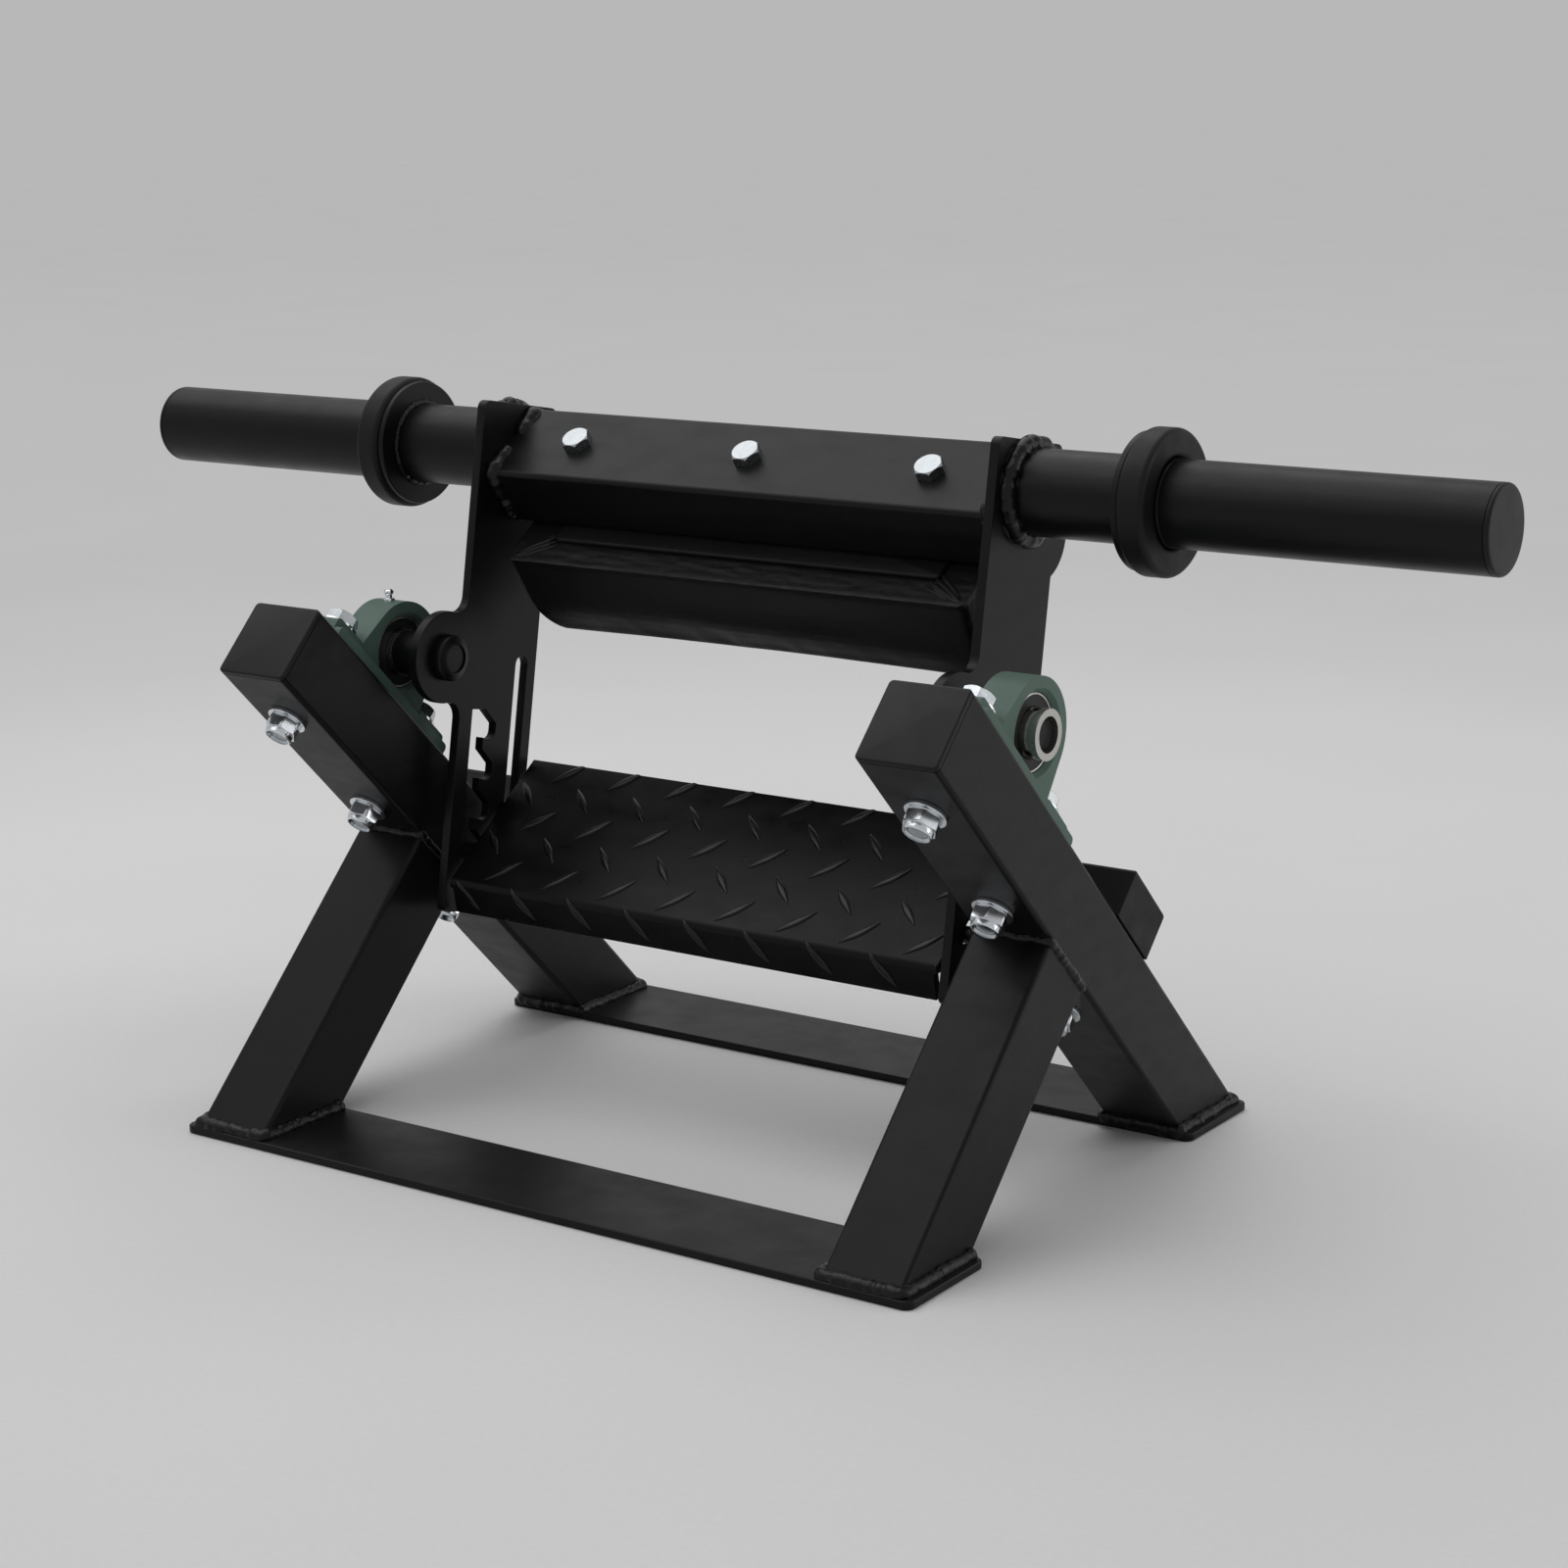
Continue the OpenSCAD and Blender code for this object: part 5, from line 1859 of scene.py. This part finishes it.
@dataclass
class Studio:
    """Pale floor, soft lamps, world light and the photograph's camera."""

    floor_r: float = 40.0
    floor_paint: float = 0.84
    cloud: float = 4.0
    cloud_tones: tuple[float, float] = (0.97, 1.02)
    grain: float = 260.0
    grain_tones: tuple[float, float] = (0.97, 1.03)
    fade: tuple[float, float] = (0.75, 1.35)
    tones: tuple[tuple[float, float], ...] = (
        (0.0, 0.62),
        (0.95, 0.62),
        (1.25, 0.59),
        (1.6, 0.545),
        (2.1, 0.515),
        (6.2, 0.49),
        (8.0, 0.48),
    )
    sky: Colour = (0.48, 0.48, 0.483)
    sky_light: float = 0.3
    lamps: tuple[tuple[str, Place, float, float], ...] = (
        ("top_panel", (-900, 400, 2600), 2900, 34.0),
        ("side_panel", (2200, 1300, 900), 2000, 15.0),
        ("front_panel", (-900, -1400, 2300), 1900, 8.0),
    )
    lamp_aim: Place = (0, 0, 200)
    camera_place: Place = (1078.9, -1486.1, 634.1)
    yaw: float = 34.71
    pitch: float = 13.12
    roll: float = -0.011
    lens: float = 74.12
    sensor: float = 36.0

    def build(self) -> None:
        """Make the studio."""
        self.floor()
        self.world()
        for lamp in self.lamps:
            self.lamp(*lamp)
        self.camera()

    @staticmethod
    def seen(tree: bpy.types.NodeTree) -> bpy.types.NodeSocket:
        """1 for rays that come straight, mirrored or through glass from the camera.

        Args:
            tree: the material's or the world's nodes.

        Returns:
            The socket that is 1 for such rays and 0 for others.
        """
        rays = tree.nodes.new("ShaderNodeLightPath")
        value = rays.outputs["Is Camera Ray"]
        for name in ("Is Glossy Ray", "Is Transmission Ray"):
            either = tree.nodes.new("ShaderNodeMath")
            either.operation = "MAXIMUM"
            tree.links.new(value, either.inputs[0])
            tree.links.new(rays.outputs[name], either.inputs[1])
            value = either.outputs[0]
        return value

    def floor(self) -> None:
        """Round floor that keeps shadows near the machine and fades into the background."""
        bpy.ops.object.select_all(action="DESELECT")
        bpy.ops.mesh.primitive_circle_add(vertices=128, radius=self.floor_r, fill_type="NGON")
        floor = Bench.named("studio_floor")
        shader = Shader("studio_floor_paint")
        length = shader.node("ShaderNodeVectorMath")
        length.operation = "LENGTH"
        shader.link(shader.place, length.inputs[0])
        reach = length.outputs["Value"]
        cloud = self.mottle(shader, self.cloud, 7.0, self.cloud_tones)
        grain = self.mottle(shader, self.grain, 6.0, self.grain_tones)
        worn = self.times(shader, cloud, grain)
        paint = shader.node("ShaderNodeRGB")
        paint.outputs[0].default_value = (*[self.floor_paint] * 3, 1.0)
        shader.link(self.times(shader, paint.outputs[0], worn), shader.surface.inputs["Base Color"])
        shader.set(Roughness=0.9, Specular_IOR_Level=0.1)
        glow = shader.node("ShaderNodeEmission")
        shader.link(self.times(shader, self.tone(shader, reach), worn), glow.inputs["Color"])
        share = shader.node("ShaderNodeMath")
        share.operation = "MULTIPLY"
        shader.link(shader.ranged(reach, 0.0, 1.0, *self.fade), share.inputs[0])
        shader.link(self.seen(shader.tree), share.inputs[1])
        mix = shader.node("ShaderNodeMixShader")
        shader.link(share.outputs[0], mix.inputs[0])
        shader.link(shader.surface.outputs["BSDF"], mix.inputs[1])
        shader.link(glow.outputs[0], mix.inputs[2])
        shader.link(mix.outputs[0], shader.output.inputs["Surface"])
        floor.data.materials.append(shader.material)

    @staticmethod
    def mottle(
        shader: Shader, scale: float, detail: float, tones: tuple[float, float]
    ) -> bpy.types.NodeSocket:
        """Noise between two greys."""
        dark, light = tones
        return shader.blend(shader.noise(scale, detail), (dark, dark, dark), (light, light, light))

    def tone(self, shader: Shader, reach: bpy.types.NodeSocket) -> bpy.types.NodeSocket:
        """Grey of the far floor by its distance from the machine.

        Args:
            shader: the floor's material.
            reach: distance from the machine in metres.

        Returns:
            The grey's socket.
        """
        ramp = shader.node("ShaderNodeValToRGB")
        ends = ramp.color_ramp.elements
        span = self.tones[-1][0]
        for number, (place, tone) in enumerate(self.tones):
            stop = ends[number] if number < 2 else ends.new(place / span)
            stop.position = place / span
            stop.color = (tone, tone, tone, 1.0)
        shader.link(shader.ranged(reach, 0.0, 1.0, 0.0, span), ramp.inputs[0])
        return ramp.outputs[0]

    @staticmethod
    def times(shader: Shader, one: bpy.types.NodeSocket, two: bpy.types.NodeSocket) -> bpy.types.NodeSocket:
        """Multiply two colours.

        Args:
            shader: the floor's material.
            one: first colour.
            two: second colour.

        Returns:
            The product's socket.
        """
        mix = shader.node("ShaderNodeMix")
        mix.data_type = "RGBA"
        mix.blend_type = "MULTIPLY"
        mix.inputs[0].default_value = 1.0
        shader.link(one, mix.inputs[6])
        shader.link(two, mix.inputs[7])
        return mix.outputs[2]

    def world(self) -> None:
        """World that lights softly and shows a plain grey."""
        world = bpy.data.worlds.new("studio_world")
        bpy.context.scene.world = world
        world.use_nodes = True
        tree = world.node_tree
        tree.nodes.clear()
        out = tree.nodes.new("ShaderNodeOutputWorld")
        mix = tree.nodes.new("ShaderNodeMixShader")
        light = tree.nodes.new("ShaderNodeBackground")
        light.inputs["Color"].default_value = (1, 1, 1, 1)
        light.inputs["Strength"].default_value = self.sky_light
        seen = tree.nodes.new("ShaderNodeBackground")
        seen.inputs["Color"].default_value = (*self.sky, 1)
        tree.links.new(self.seen(tree), mix.inputs[0])
        tree.links.new(light.outputs[0], mix.inputs[1])
        tree.links.new(seen.outputs[0], mix.inputs[2])
        tree.links.new(mix.outputs[0], out.inputs["Surface"])

    def lamp(self, name: str, place: Place, size: float, power: float) -> None:
        """Square soft lamp that looks at the machine.

        Args:
            name: the lamp's name.
            place: its place in millimetres.
            size: its side in millimetres.
            power: its power in watts.
        """
        data = bpy.data.lights.new(name, "AREA")
        data.size = size * MM
        data.energy = power
        lamp = bpy.data.objects.new(name, data)
        lamp.location = Vector(place) * MM
        aim = Vector(self.lamp_aim) * MM - lamp.location
        lamp.rotation_mode = "QUATERNION"
        lamp.rotation_quaternion = aim.to_track_quat("-Z", "Y")
        bpy.context.scene.collection.objects.link(lamp)

    def camera(self) -> None:
        """Camera at the photograph's place, turned and rolled as there."""
        yaw, pitch = math.radians(self.yaw), math.radians(self.pitch)
        ahead = Vector((-math.sin(yaw) * math.cos(pitch), math.cos(yaw) * math.cos(pitch), -math.sin(pitch)))
        right = Vector((math.cos(yaw), math.sin(yaw), 0))
        up = right.cross(ahead)
        across = right * math.cos(self.roll) + up * math.sin(self.roll)
        over = up * math.cos(self.roll) - right * math.sin(self.roll)
        data = bpy.data.cameras.new("photo_camera")
        data.lens = self.lens
        data.sensor_width = self.sensor
        data.clip_start, data.clip_end = 0.05, 200.0
        camera = bpy.data.objects.new("photo_camera", data)
        turn = Matrix((across, over, -ahead)).transposed().to_4x4()
        camera.matrix_world = Matrix.Translation(Vector(self.camera_place) * MM) @ turn
        bpy.context.scene.collection.objects.link(camera)
        bpy.context.scene.camera = camera


def main() -> None:
    """Build the machine and its studio in order."""
    logging.basicConfig(level=logging.INFO, format="%(name)s: %(message)s")
    bpy.context.scene.view_settings.view_transform = "Standard"
    Studio().build()
    Base().build()
    Bearings().build()
    Fasteners().build()
    SwingFrame().build()
    Pad().build()
    Footplate().build()


if __name__ == "__main__":
    main()
